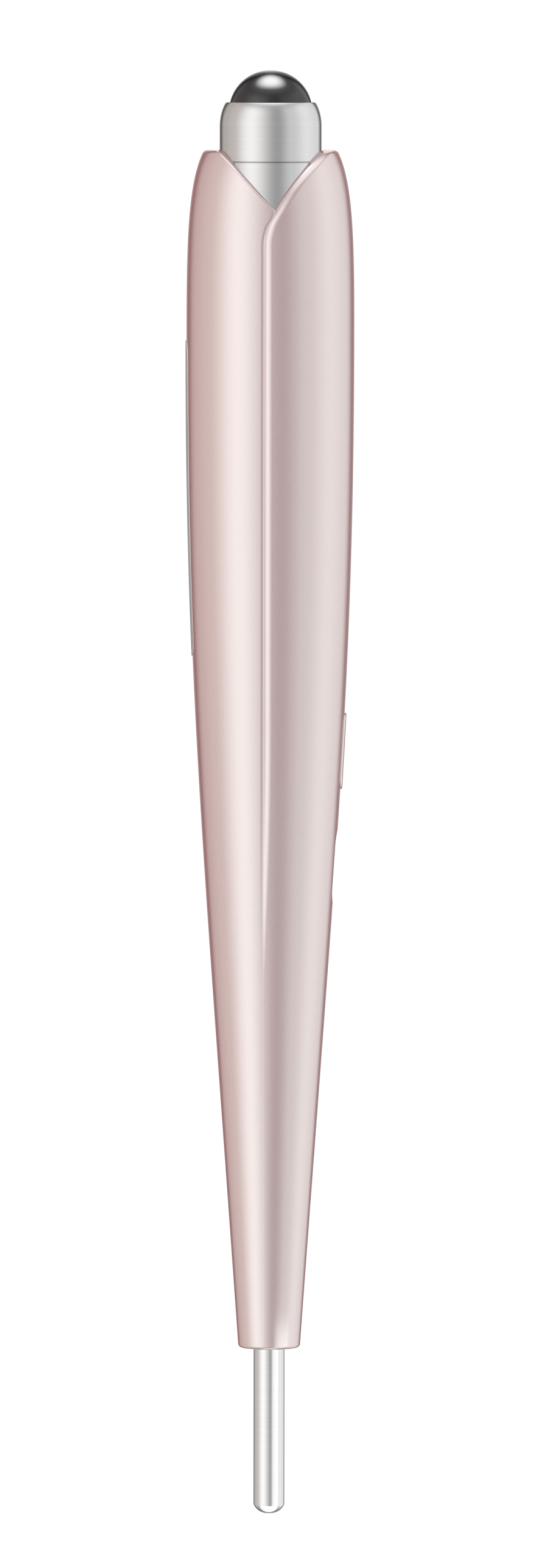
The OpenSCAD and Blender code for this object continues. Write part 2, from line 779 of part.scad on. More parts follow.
module probe_rod() {
    dome_r = (rod_r * rod_r + rod_dome * rod_dome) / (2 * rod_dome);
    dome_a = asin(rod_r / dome_r);
    color("#d4d6d8") lay() difference() {
        rotate_extrude($fn = fine) polygon(concat(
            arc([0, dome_r], dome_r, -90, -90 + dome_a, 10),
            [[rod_r, end_z - fit], [core_r, end_z - fit], [core_r, rod_top_z - 0.3],
                [core_r - 0.3, rod_top_z], [0, rod_top_z]]));
        translate([0, 0, clip_z]) difference() {
            cylinder(r = core_r + 1, h = clip_t, $fn = fine);
            translate([0, 0, -1]) cylinder(r = groove_r, h = clip_t + 2, $fn = fine);
        }
    }
}

module rod_holder() {
    color("#e9e7e1") lay() difference() {
        follow(cavity_z, holder_top_z, -wall - fit);
        translate([0, 0, cavity_z - 1])
            cylinder(r = core_r + fit, h = holder_top_z - cavity_z + 2, $fn = fine);
        translate([0, 0, rib_z - fit]) difference() {
            cylinder(r = body_r, h = rib_h + 2 * fit, $fn = fine);
            translate([0, 0, -1]) cylinder(r = in_r(rib_z) - rib_depth - fit, h = rib_h + 2, $fn = fine);
        }
    }
}

// Solder tag under the clip, with a tab that stands up for the wire
tab_y = core_r + 1.1;
tab_h = 2.6;
module rod_contact() {
    color("#d8b45c") lay() translate([0, 0, holder_top_z]) {
        difference() {
            union() {
                cylinder(r = core_r + 1.1, h = tag_t, $fn = fine);
                translate([-0.8, 0, 0]) cube([1.6, tab_y + tag_t, tag_t]);
            }
            translate([0, 0, -1]) cylinder(r = core_r + fit, h = 2, $fn = fine);
        }
        translate([-0.8, tab_y, 0]) cube([1.6, tag_t, tab_h]);
    }
}

module rod_clip() {
    color("#8e9094") lay() translate([0, 0, clip_z]) difference() {
        cylinder(r = core_r + 0.9, h = clip_t, $fn = fine);
        translate([0, 0, -1]) cylinder(r = groove_r + 0.02, h = clip_t + 2, $fn = fine);
        translate([-0.9, -body_r, -1]) cube([1.8, body_r, clip_t + 2]);
    }
}

module rod_seal() {
    color("#2a2a2a") lay() translate([0, 0, ring_z]) rotate_extrude($fn = fine)
        translate([ring_r, 0]) circle(d = ring_d, $fn = 24);
}

module rod_lead() {
    z0 = holder_top_z + tab_h;
    color("#1f4f9c") lay() lead([
        [0, tab_y + tag_t / 2, z0], [0, tab_y + tag_t / 2, z0 + lead_end],
        [0, tab_y - 0.2, board_z - 1], [0, tab_y - 0.9, board_z + land - 1.2],
        [0, board_y + lead_end, board_z + land], [0, board_y, board_z + land]]);
}

// Runs from the neck's spigot over the battery to the top of the board
module ball_lead() {
    over_y = cell_t / 2 + lead_d / 2 + 0.5;
    side_x = post_r + lead_pass + 0.2;
    land_x = side_x + 1.8;
    land_z = board_top_z - land;
    color("#e5e3dd") lay() lead([[2.5, 0.5, spigot_z], [2.5, 0.5, spigot_z - lead_end],
        [side_x, over_y - 0.6, screw_zs[1] + post_r + 0.8], [side_x, over_y, screw_zs[1]],
        [side_x, over_y, cell_z + cell_l / 2], [side_x, over_y, cell_z + 1],
        [land_x - 0.6, over_y - 0.6, screw_zs[0]], [land_x - 0.1, board_y + 1.8, land_z + 1.2],
        [land_x, board_y + lead_end, land_z], [land_x, board_y, land_z]]);
}

// Runs from the leaf on the palm side up to the underside of the board
module strip_lead() {
    y0 = leaf_y(leaf_z) - leaf_rise - leaf_t / 2;
    side_x = post_r + lead_pass;
    land_x = side_x - 0.5;
    land_z = board_top_z - land - 0.2;
    color("#e0a93a") lay() lead([[0, -y0, leaf_z], [0, -y0, leaf_z - lead_end],
        [side_x - 0.4, -y0 + 1, screw_zs[0] + post_r + 0.6], [side_x, -y0 + 2, screw_zs[0]],
        [side_x - 0.4, -3 * board_t, land_z + 2], [land_x, -1.8 * board_t, land_z + 0.4],
        [land_x, -lead_end, land_z], [land_x, 0, land_z]]);
}

roller_ball();
ball_collar();
ball_cup();
contact_pin();
contact_spring();
collar_seal();
neck();
button_shell();
palm_shell();
palm_strip();
strip_contact();
case_screws();
inner_frame();
battery_cell();
battery_plug();
battery_lead_red();
battery_lead_black();
circuit_board();
control_chip();
boost_coil();
chip_parts();
status_led();
tact_switch();
switch_plunger();
push_button();
charging_socket();
socket_tongue();
probe_rod();
rod_holder();
rod_contact();
rod_clip();
rod_seal();
rod_lead();
ball_lead();
strip_lead();
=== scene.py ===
"""Finished pieces, materials and stage of a facial massage stick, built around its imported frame."""

import json
import math

import bmesh
import bpy
import numpy as np
from bpy.props import FloatProperty, FloatVectorProperty, IntProperty, PointerProperty
from mathutils import Matrix, Vector


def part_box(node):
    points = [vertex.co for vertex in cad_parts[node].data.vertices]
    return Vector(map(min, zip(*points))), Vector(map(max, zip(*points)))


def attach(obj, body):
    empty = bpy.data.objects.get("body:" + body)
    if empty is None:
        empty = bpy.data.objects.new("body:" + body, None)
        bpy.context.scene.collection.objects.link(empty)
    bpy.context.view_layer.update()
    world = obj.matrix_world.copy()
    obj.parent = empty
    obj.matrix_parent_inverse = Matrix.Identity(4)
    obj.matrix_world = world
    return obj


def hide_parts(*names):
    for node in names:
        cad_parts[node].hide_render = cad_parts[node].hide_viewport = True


bl_info = {
    "name": "Facial Massage Stick",
    "version": (1, 0, 0),
    "blender": (4, 5, 0),
    "location": "3D View > Sidebar > Massage Stick",
    "description": "Makes the finished pieces of a facial massage stick with a roller ball and a probe",
    "category": "Object",
}

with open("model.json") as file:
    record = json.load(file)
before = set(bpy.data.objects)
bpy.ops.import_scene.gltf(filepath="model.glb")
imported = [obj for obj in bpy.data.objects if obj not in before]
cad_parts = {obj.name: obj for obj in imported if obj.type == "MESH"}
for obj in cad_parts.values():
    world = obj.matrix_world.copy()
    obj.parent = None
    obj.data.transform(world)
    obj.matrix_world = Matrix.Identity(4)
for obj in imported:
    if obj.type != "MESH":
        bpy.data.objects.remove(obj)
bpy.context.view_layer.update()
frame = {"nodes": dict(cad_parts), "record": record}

MM = 0.001

# The stick is described upright: x to the front, y to the button side, and heights z
# counted from the tip of the probe rod. LAY turns it onto its side in the row frame.
BALL_LOW, BALL_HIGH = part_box("roller_ball")
ROD_LOW, ROD_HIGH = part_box("probe_rod")
AXIS_Z = (BALL_LOW.z + BALL_HIGH.z) / 2
LAY = Matrix(((0, 0, 1, ROD_LOW.x), (0, -1, 0, 0), (1, 0, 0, AXIS_Z), (0, 0, 0, 1)))
HALF_TURN = Matrix(((-1, 0, 0, 0), (0, -1, 0, 0), (0, 0, 1, 0), (0, 0, 0, 1)))

# Heights along the stick
END_Z = 22.05 * MM
TIP_Z = 179.3 * MM
WIDE_Z = 155.8 * MM
NOTCH_Z = 171.5 * MM
ROOT_Z = 168.1 * MM
CAVITY_Z = 25.5 * MM
COLLAR_Z = 177.75 * MM
COLLAR_TOP_Z = 185.5 * MM
BALL_Z = BALL_HIGH.x - ROD_LOW.x - (BALL_HIGH.x - BALL_LOW.x) / 2
BUTTON_Z = 100.55 * MM
PORT_Z = 85.45 * MM
STRIP_Z = 133.7 * MM
SCREW_ZS = (116 * MM, 151.4 * MM)
FLAT_Z = 128.3 * MM
SEAT_Z = 94.5 * MM

# Radii
END_R = 4.05 * MM
BODY_R = 11 * MM
TIP_R = 8.7 * MM
BORE_R = 6.74 * MM
COLLAR_R = 6.7 * MM
THREAD_R = 5.95 * MM
BALL_R = (BALL_HIGH.z - BALL_LOW.z) / 2
NEST_R = BALL_R + 0.05 * MM
ROD_R = 2.05 * MM
CORE_R = 1.75 * MM

# Half width of the ball's nest at its lower edge, as a share of the ball's radius
NEST_SHARE = 0.83

# Edges sharper than this stay sharp
SHARP_ANGLE = math.radians(34)

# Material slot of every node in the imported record
SLOTS = {part["node"]: part["material_slot"] for part in frame["record"]["subparts"]}


# Sizes and colours that a user would change


def length(name, description, size):
    """Length property, its default given in millimetres."""
    return FloatProperty(name=name, description=description, default=size * MM, unit="LENGTH")


def turn_angle(name, description, degrees):
    """Angle property, its default given in degrees."""
    return FloatProperty(name=name, description=description, default=math.radians(degrees), subtype="ANGLE")


def tint(name, description, color):
    """Colour property."""
    return FloatVectorProperty(
        name=name, description=description, subtype="COLOR", size=3, min=0, max=1, default=color
    )


class CasingSettings(bpy.types.PropertyGroup):
    """Sizes of the two casing halves."""

    wall: length("Wall", "Wall thickness of the casing", 1.7)
    rise: length("Petal Rise", "How far each half leans out at its upper edge", 0.178)
    roll: length("Edge Roll", "Radius of the rolled edge of the upper petal", 1.37)
    soft_edge: length("Notch Edge", "Edge radius of the lower petal in the notch", 0.32)
    foot: length("Seam Foot", "How far the rolled edge dips below the lower petal", 0.1)
    lip: length("Seam Lip", "Height of the lower petal's lip along the seam", 0.04)
    dip: length("Seam Dip", "Depth of the hollow beside that lip", 0.045)
    rim: length("End Rim", "Radius of the rim around the rod", 0.45)
    tip_edge: length("Tip Edge", "Edge radius of the petal tips", 0.45)
    columns: IntProperty(name="Columns", description="Points along the outside of a section", default=140, min=40)


class ControlSettings(bpy.types.PropertyGroup):
    """Sizes of the button, the strip and the shallow place of the charging port."""

    button_length: length("Button Length", "Length of the push button", 10.1)
    button_width: length("Button Width", "Width of the push button", 3.5)
    button_proud: length("Button Height", "Height of the button above the casing", 0.25)
    button_edge: length("Button Edge", "Edge radius of the push button", 0.3)
    strip_length: length("Strip Length", "Length of the palm strip", 41.4)
    strip_width: length("Strip Width", "Width of the palm strip", 4)
    strip_proud: length("Strip Height", "Height of the strip's crown above the casing", 0.13)
    strip_edge: length("Strip Edge", "Edge radius of the palm strip", 0.12)
    flat_depth: length("Port Flat Depth", "Depth of the flat around the port", 0.18)
    flat_slope: length("Port Flat Slope", "Width of the flat's sloped rim", 0.7)


class TurnedSettings(bpy.types.PropertyGroup):
    """Sizes of the turned pieces and of the coiled and drawn ones."""

    segments: IntProperty(name="Segments", description="Steps around a turned piece", default=192, min=24)
    rod_dome: length("Rod Dome", "Height of the rod's domed tip", 1.3)
    chamfer: length("Joint Chamfer", "Chamfer at the joint of collar and neck", 0.12)
    spring_wire: length("Spring Wire", "Wire thickness of the contact spring", 0.4)
    spring_turns: IntProperty(name="Spring Turns", description="Turns of the contact spring", default=7, min=3)
    wire: length("Wire", "Diameter of the insulated wires", 0.8)


class FinishSettings(bpy.types.PropertyGroup):
    """Colours and gloss of the outside finishes."""

    rose: tint("Rose", "Colour of the coat under the pearl", (0.345, 0.09, 0.105))
    pearl: tint("Pearl", "Tint of the pearl's gloss", (0.925, 1.0, 0.97))
    lacquer_roughness: FloatProperty(
        name="Lacquer Roughness", description="Roughness of the pearl layer", default=0.24, min=0, max=1
    )
    steel: tint("Steel", "Colour of the collar, the neck and the strip", (0.55, 0.55, 0.55))
    ball: tint("Ball", "Colour of the dark roller ball", (0.0585, 0.0585, 0.06))


class StageSettings(bpy.types.PropertyGroup):
    """Floor, light and camera."""

    light: FloatProperty(name="Light Level", description="Strength of the studio light", default=1.8, min=0)
    floor_size: length("Floor Size", "Side of the floor", 4000)
    distance: length("Camera Distance", "Distance from the camera to its aim", 1850)
    pitch: turn_angle("Camera Pitch", "Lean of the camera towards the ball", 3.4)
    field: turn_angle("Camera Field", "Angle of view along the stick", 6.362)
    roll: turn_angle("Camera Roll", "Turn of the camera about its view", 0.075)
    aim: length("Camera Aim", "Where along the stick the camera aims", 1.33)
    aside: length("Camera Aside", "How far the aim is beside the stick", -0.09)


# Shape of the casing


def smoothstep(value, low, high):
    t = np.clip((np.asarray(value, float) - low) / (high - low), 0, 1)
    return t * t * (3 - 2 * t)


def cubic(a, b, c, d, count):
    t = np.linspace(0, 1, count + 1)[:, None]
    a, b, c, d = (np.array(p, float) for p in (a, b, c, d))
    return (1 - t) ** 3 * a + 3 * (1 - t) ** 2 * t * b + 3 * (1 - t) * t * t * c + t**3 * d


BELLY = cubic(
    (END_R, END_Z), (END_R + 70 * MM * 0.072, END_Z + 70 * MM), (BODY_R, WIDE_Z - 45 * MM), (BODY_R, WIDE_Z), 300
)
SHOULDER = cubic(
    (BODY_R, WIDE_Z), (BODY_R, WIDE_Z + 12 * MM), (TIP_R + 2.1 * MM, TIP_Z - 4 * MM), (TIP_R, TIP_Z), 200
)
OUTLINE = np.concatenate((BELLY, SHOULDER[1:]))

# Sideways place of the petals' edges at the front, by height
PETAL_EDGE = cubic(
    (7.1 * MM, TIP_Z), (4.1 * MM, 176.75 * MM), (-0.81 * MM, 171 * MM), (-0.81 * MM, 167 * MM), 200
)[::-1]
PETAL_FOOT = (-6.95 * MM, TIP_Z)
NOTCH_U = float(np.interp(NOTCH_Z, PETAL_EDGE[:, 1], PETAL_EDGE[:, 0]))


def outer_radius(z):
    """Radii of the casing at an array of heights."""
    return np.interp(z, OUTLINE[:, 1], OUTLINE[:, 0])


def radius_at(z):
    """Radius of the casing at one height."""
    return float(outer_radius(z))


def quarter(count):
    """Angles over a quarter turn."""
    return np.radians(np.linspace(0, 90, count))


def tip_fillet(z):
    """Sideways room for the rounded corner where a petal's edge meets its tip."""
    edge, room = 0.45 * MM, 0.47 * MM
    t = np.clip((z - (TIP_Z - edge)) / room, 0, 1)
    return edge * (1 - math.sqrt(1 - t * t))


def over_edge(z):
    """Sideways place of the edge of the petal that lies over."""
    return float(np.interp(z, PETAL_EDGE[:, 1], PETAL_EDGE[:, 0])) + tip_fillet(z)


def under_edge(z):
    """Sideways place of the edge of the petal that lies under, where the notch parts the two."""
    t = (TIP_Z - max(z, NOTCH_Z)) / (TIP_Z - NOTCH_Z)
    return PETAL_FOOT[0] + t * (NOTCH_U - PETAL_FOOT[0]) - tip_fillet(z)


# Ring groove around the rod, rib of the cavity, end of the lap joint, start of the finer sections,
# and heights between which the seam grows to its full relief
RING_LOW, RING_HIGH = 23.13 * MM, 24.07 * MM
RIB_LOW, RIB_HIGH = 37.475 * MM, 38.975 * MM
LAP_Z, FINE_Z = 170.9 * MM, 166 * MM
SEAM_LOW, SEAM_HIGH = 70 * MM, 104 * MM

# Flat around the port, widths of lip and lap joint, and gaps between the halves
PORT_FLAT_LENGTH, PORT_FLAT_WIDTH = 9.7 * MM, 3.8 * MM
LIP_WIDTH, LAP_REACH = 0.62 * MM, 1.4 * MM
LAP_PLAY, HAIR = 0.1 * MM, 0.004 * MM

# Flat along the back: half its length, its depth and how softly it runs out
FLAT_HALF = 50 * MM
FLAT_DEPTH = 0.2 * MM
FLAT_SOFT = 0.012 * MM


def inner_radius(z, wall):
    """Radius of the space inside the casing: rod bore with its ring groove, cavity with its rib, neck bore."""
    if z < CAVITY_Z:
        return 2.63 * MM if RING_LOW < z < RING_HIGH else CORE_R + 0.05 * MM
    if z > ROOT_Z:
        return BORE_R
    rib = 0.7 * MM if RIB_LOW < z < RIB_HIGH else 0
    return radius_at(z) - wall - rib


def section_rows(fine_spans, s):
    """Heights of the sections, as (height, inset of the outside)."""
    rows = [(END_Z + s.rim * (1 - math.cos(a)), s.rim * (1 - math.sin(a))) for a in quarter(7)]
    spans = [(END_Z + s.rim, FINE_Z, 2 * MM), (FINE_Z, TIP_Z - s.tip_edge, 0.32 * MM), *fine_spans]
    heights = set()
    for low, high, step in spans:
        count = math.ceil((high - low) / step)
        heights |= {round(low + (high - low) * i / count, 7) for i in range(1, count)}
    step_gap = 0.01 * MM
    for z in (RING_LOW, RING_HIGH, CAVITY_Z, RIB_LOW, RIB_HIGH, ROOT_Z, LAP_Z):
        heights = {h for h in heights if abs(h - z) > 0.08 * MM}
        heights |= {z - step_gap, z + step_gap}
    last = rows[-1][0]
    for z in sorted(heights):
        if z - last > 0.015 * MM:
            rows.append((z, 0.0))
            last = z
    return rows + [(TIP_Z - s.tip_edge * (1 - math.sin(a)), s.tip_edge * (1 - math.cos(a))) for a in quarter(8)]


def facing(a):
    """Direction at an angle in a section."""
    return np.array((math.cos(a), math.sin(a)))


def along(a):
    """Direction of growing angle at an angle in a section."""
    return np.array((-math.sin(a), math.cos(a)))


def angle_of(point, whole=True):
    """Angle of a point in a section, from 0 up to a whole turn or else from half a turn back."""
    angle = math.atan2(point[1], point[0])
    return angle % (2 * math.pi) if whole else angle


def meet_circle(point, direction, radius):
    """Where a ray from point first meets the circle of this radius about the axis."""
    reach = float(point @ direction)
    root = reach * reach - float(point @ point) + radius * radius
    return point + direction * (-reach - math.sqrt(max(root, 0)))


def stadium_inside(x, z, length, width):
    """Distance inwards from the outline of a slot, negative outside."""
    over = np.maximum(np.abs(z) - (length - width) / 2, 0)
    return width / 2 - np.hypot(x, over)


def half_section(z, inset, s, has_port, rests):
    """One section of a casing half: outside from the rolled edge to the lower edge, then back inside."""
    c = bpy.context.scene.stick_controls
    seam = float(smoothstep(z, SEAM_LOW, SEAM_HIGH))
    notch = float(smoothstep(z, NOTCH_Z - 2 * MM, NOTCH_Z + 0.5 * MM))
    lift = s.rise * seam
    full = radius_at(z)
    radius = full - inset
    drop = (2 * lift + s.foot * seam + HAIR) * (1 - notch) + 0.56 * s.roll * notch
    turn = math.acos(1 - drop / s.roll)
    axis = np.array((lift, 0.0))

    # Rolled edge of the upper petal
    edge_a = math.asin(max(-1, min(1, over_edge(z) / (radius - drop))))
    first = edge_a + s.roll * math.sin(turn) / (radius - drop)
    middle = axis + (radius - s.roll) * facing(first)

    def on_roll(t, off=0.0):
        return middle + (s.roll + off) * (math.cos(t) * facing(first) - math.sin(t) * along(first))

    ring = [on_roll(turn * k / 14) for k in range(14, 0, -1)]
    roll_end = ring[0]

    # Lower edge: below the notch it rises in a lip against the other half's roll, above it is rounded
    lip_turn = min(math.acos(1 - (max(2 * lift - s.lip * seam, 0) + HAIR / 2) / s.roll), turn)
    lip = [-on_roll(lip_turn + (turn - lip_turn) * k / 5, HAIR) for k in range(6)]
    lip_rise = float(np.linalg.norm(lip[0] - axis)) - radius
    lip_a = angle_of(lip[0] - axis)
    open_a = math.pi + math.asin(max(-1, min(1, under_edge(z) / radius)))
    low_a = lip_a + (open_a - lip_a) * notch
    soft = s.soft_edge * notch
    last = low_a - soft / radius
    rim_a = last - LIP_WIDTH / radius
    t = np.linspace(0, 1, s.columns + 1)
    angles = first + (rim_a - first) * (t - 0.5 * np.sin(4 * math.pi * t) / (4 * math.pi))
    angles = np.concatenate((angles, np.linspace(rim_a, last, 15)[1:]))
    reach = np.full(len(angles), radius)
    if has_port:
        depth = stadium_inside(reach * np.cos(angles), z - PORT_Z, PORT_FLAT_LENGTH, PORT_FLAT_WIDTH)
        reach = reach - c.flat_depth * smoothstep(depth, 0, c.flat_slope)
    share = np.clip((low_a - angles) * radius / LIP_WIDTH, 0, 1)
    dip = s.dip * seam * (1 - notch)
    reach += (lip_rise + dip) * (1 - notch) * np.clip(1 - share / 0.42, 0, 1) ** 3
    reach -= dip * smoothstep(1 - share, 0, 0.62)
    outside = axis + np.stack((reach * np.cos(angles), reach * np.sin(angles)), 1)
    ring.extend(outside)
    middle = axis + (radius - soft) * facing(last)
    for k in range(1, 6):
        t = math.radians(84) * k / 5
        rounded = middle + soft * (math.cos(t) * facing(last) + math.sin(t) * along(last))
        ring.append(lip[k] + (rounded - lip[k]) * notch)
    soft_end = ring[-1]
    ring = np.array(ring)

    if rests:
        # Narrow flat along the back, whose lowest place touches the floor
        share = (z - FLAT_Z) / FLAT_HALF
        lean = FLAT_DEPTH / (NOTCH_Z - END_Z)
        limit = full + (z - END_Z) * lean - FLAT_DEPTH * (1 - share * share)
        limit = min(limit, AXIS_Z - 0.002 * MM) if abs(share) < 1.1 else 1.0
        over = ring[:, 0] - limit
        ring[:, 0] -= np.where(over > -4 * FLAT_SOFT, FLAT_SOFT * np.logaddexp(0, over / FLAT_SOFT), 0)

    # Lap joint in the inner half of the wall, and the inside
    inner = inner_radius(z, s.wall)
    lap = LAP_REACH if z < LAP_Z else 0.0
    play = LAP_PLAY if lap else 0.0
    lean = 1 + (0.27 * float(smoothstep(z, 176 * MM, 179 * MM)) - 0.75) * notch
    front = np.array((-1.0, 0.0)) - lean * facing(edge_a)
    back = np.array((1.0, 0.0)) - lean * facing(low_a)
    front /= np.linalg.norm(front)
    back /= np.linalg.norm(back)
    shelf = min(full - s.wall / 2, radius - drop - lift - 0.12 * MM)
    corners, ends = [], []
    for start, way, more, whole in ((soft_end, back, 0, True), (roll_end, front, play, False)):
        corner = meet_circle(start, way, max(shelf + more, inner + LAP_PLAY))
        end_a = angle_of(corner, whole) + (lap + more) / full
        corners.append((corner, np.linalg.norm(corner) * facing(end_a)))
        ends.append(end_a if lap else angle_of(meet_circle(start, way, inner), whole))
    inside = [inner * facing(a) for a in np.linspace(*ends, 49)]
    return np.concatenate((ring, np.array([*corners[0], *inside, *corners[1][::-1]])))


# Meshes


def new_piece(name, mesh):
    piece = bpy.data.objects.new(name, mesh)
    bpy.context.scene.collection.objects.link(piece)
    return piece


def mesh_from(name, verts, faces, edges=()):
    mesh = bpy.data.meshes.new(name)
    mesh.from_pydata([tuple(float(x) for x in v) for v in verts], edges, [tuple(int(i) for i in f) for f in faces])
    if faces:
        mesh.validate()
    return mesh


def flat_square(name, corners):
    """A square through four corners."""
    return new_piece(name, mesh_from(name, corners, [(0, 1, 2, 3)]))


def outward(mesh):
    """Turns the faces outwards."""
    shape = bmesh.new()
    shape.from_mesh(mesh)
    bmesh.ops.recalc_face_normals(shape, faces=shape.faces)
    shape.to_mesh(mesh)
    shape.free()
    return mesh


def loft(name, rings, closed=False):
    """Closed mesh through rings of as many points each, capped at both ends or led back to the first."""
    count = len(rings[0])
    verts = np.concatenate(rings)
    faces = []
    for i in range(len(rings) - (0 if closed else 1)):
        low, high = i * count, (i + 1) % len(rings) * count
        for k in range(count):
            after = (k + 1) % count
            faces.append((low + k, low + after, high + after, high + k))
    if not closed:
        faces.append(tuple(range(count))[::-1])
        faces.append(tuple(range((len(rings) - 1) * count, len(rings) * count)))
    return outward(mesh_from(name, verts, faces))


def stadium(length, width):
    """Outline of a slot as (across, along), with the same count of points for any size."""
    half, r = max((length - width) / 2, 0), width / 2
    round_steps, straight_steps = 20, 24
    points = []
    for sign in (1, -1):
        for k in range(round_steps + 1):
            a = math.pi * k / round_steps + (0 if sign > 0 else math.pi)
            points.append((r * math.cos(a), sign * half + r * math.sin(a)))
        for k in range(1, straight_steps):
            points.append((-sign * r, sign * half * (1 - 2 * k / straight_steps)))
    return np.array(points)


def slot_block(name, length, width, z, top, bottom, edge=0.0):
    """Closed block of slot outline on the side of the stick, its top and bottom being reaches in y."""
    rings = []
    for reach in (bottom, top):
        face = []
        eased = reach is top and edge
        insets = [edge * (1 - math.cos(a)) for a in quarter(8)] if eased else [0.0]
        insets += list(np.linspace(insets[-1], width / 2 * 0.985, 8))[1:]
        for inset in insets:
            outline = stadium(length - 2 * inset, width - 2 * inset)
            y = reach(outline[:, 0], z + outline[:, 1])
            if eased:
                y = y - (edge - math.sqrt(max(edge**2 - max(edge - inset, 0) ** 2, 0)))
            face.append(layer(outline, z, y))
        rings.append(face)
    return loft(name, rings[0][::-1] + rings[1])


def prism(name, outline, z, y0, y1):
    """Prism along y over an outline of (across, along) points."""
    return loft(name, [layer(outline, z, y) for y in (y0, y1)])


def layer(outline, z, y):
    """An outline of (across, along) points set at a height of the stick and a reach in y."""
    outline = np.asarray(outline)
    return np.stack((outline[:, 0], np.full(len(outline), y), z + outline[:, 1]), 1)


def circle(radius, sides=40):
    """Outline of a circle as (across, along)."""
    turn = np.linspace(0, 2 * math.pi, sides, endpoint=False)
    return np.stack((radius * np.cos(turn), radius * np.sin(turn)), 1)


def bar(name, radius, z, y0, y1):
    """Round bar along y."""
    return prism(name, circle(radius), z, y0, y1)


def sleeve(name, outside, inside, z, y0, y1):
    """Closed wall along y between two outlines of as many points."""
    corners = ((outside, y0), (outside, y1), (inside, y1), (inside, y0))
    return loft(name, [layer(outline, z, y) for outline, y in corners], closed=True)


def cut(mesh, cutters):
    """Takes the closed cutter meshes out of a closed mesh, and returns the result."""
    body = new_piece("body_blank", mesh)
    tools = []
    for i, cutter in enumerate(cutters):
        tool = new_piece(f"cutter_{i}", cutter)
        tools.append(tool)
        step = body.modifiers.new(f"Cut {i}", "BOOLEAN")
        step.operation = "DIFFERENCE"
        step.solver = "MANIFOLD"
        step.object = tool
    result = bpy.data.meshes.new_from_object(body.evaluated_get(bpy.context.evaluated_depsgraph_get()))
    for piece in [body, *tools]:
        bpy.data.objects.remove(piece)
    return result


def join(meshes):
    """One mesh from several."""
    shape = bmesh.new()
    for mesh in meshes:
        shape.from_mesh(mesh)
    joined = bpy.data.meshes.new("joined")
    shape.to_mesh(joined)
    shape.free()
    return joined


def finish_piece(name, mesh, node, body="handle", turned=False):
    """Lays a mesh in the row frame and makes it the finished piece that stands for a node."""
    if not mesh.polygons:
        raise RuntimeError(f"{name} came out empty")
    mesh.transform(LAY @ HALF_TURN if turned else LAY)
    mesh.name = name
    mesh.materials.clear()
    mesh.materials.append(finish_for(SLOTS[node]))
    mesh.shade_smooth()
    mesh.set_sharp_from_angle(angle=SHARP_ANGLE)
    piece = new_piece(name, mesh)
    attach(piece, body)
    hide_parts(node)
    return piece


# Node trees


def feed(tree, socket, value):
    """Links or sets an input."""
    if isinstance(value, bpy.types.NodeSocket):
        tree.links.new(value, socket)
    else:
        socket.default_value = value


def put(tree, kind, inputs=None, **settings):
    """A new node with its settings, and its inputs linked or set by label or number."""
    node = tree.nodes.new(kind)
    for name, value in settings.items():
        setattr(node, name, value)
    for label, value in (inputs or {}).items():
        feed(tree, node.inputs[label], value)
    return node


def maths(tree, operation, *values):
    """Output of a Math node on sockets or numbers."""
    return put(tree, "ShaderNodeMath", dict(enumerate(values)), operation=operation).outputs[0]


def start_group(name, kind, inputs, outputs):
    """A node group with named inputs and outputs, and the sockets of its inputs."""
    group = bpy.data.node_groups.new(name, kind)
    for label, socket, value in inputs:
        made = group.interface.new_socket(label, in_out="INPUT", socket_type=f"NodeSocket{socket}")
        if value is not None:
            made.default_value = value
    for label, socket in outputs:
        group.interface.new_socket(label, in_out="OUTPUT", socket_type=f"NodeSocket{socket}")
    return group, group.nodes.new("NodeGroupInput").outputs


def group_named(name, maker):
    return bpy.data.node_groups.get(name) or maker(name)


# Geometry node trees


def start_tree(name, inputs):
    """A geometry node tree with a geometry, the named inputs and a material going in."""
    inputs = [("Geometry", "Geometry", None), *inputs, ("Material", "Material", None)]
    return start_group(name, "GeometryNodeTree", inputs, [("Geometry", "Geometry")])


def finish_tree(tree, source, given):
    """Ends a tree: instances made real, then the material set."""
    real = put(tree, "GeometryNodeRealizeInstances", {"Geometry": source})
    paint = put(tree, "GeometryNodeSetMaterial", {"Geometry": real.outputs[0], "Material": given["Material"]})
    put(tree, "NodeGroupOutput", {0: paint.outputs[0]})
    return tree


def sweep(tree, curve, radius, sides):
    """A round profile swept along a curve."""
    profile = put(tree, "GeometryNodeCurvePrimitiveCircle", {"Resolution": sides, "Radius": radius})
    inputs = {"Curve": curve, "Profile Curve": profile.outputs["Curve"], "Fill Caps": True}
    return put(tree, "GeometryNodeCurveToMesh", inputs).outputs["Mesh"]


def turned_tree(name):
    """Turns a profile about the stick's axis."""
    sizes = [("Segments", "Int", 192), ("Lathe Radius", "Float", 1 * MM), ("Weld", "Float", 0.0005 * MM)]
    tree, given = start_tree(name, sizes)
    profile = put(tree, "GeometryNodeMeshToCurve", {"Mesh": given["Geometry"]})
    inputs = {"Resolution": given["Segments"], "Radius": given["Lathe Radius"]}
    ring = put(tree, "GeometryNodeCurvePrimitiveCircle", inputs)
    inputs = {"Curve": ring.outputs["Curve"], "Profile Curve": profile.outputs["Curve"]}
    lathe = put(tree, "GeometryNodeCurveToMesh", inputs)
    weld = put(tree, "GeometryNodeMergeByDistance", {"Geometry": lathe.outputs["Mesh"], "Distance": given["Weld"]})
    return finish_tree(tree, weld.outputs["Geometry"], given)


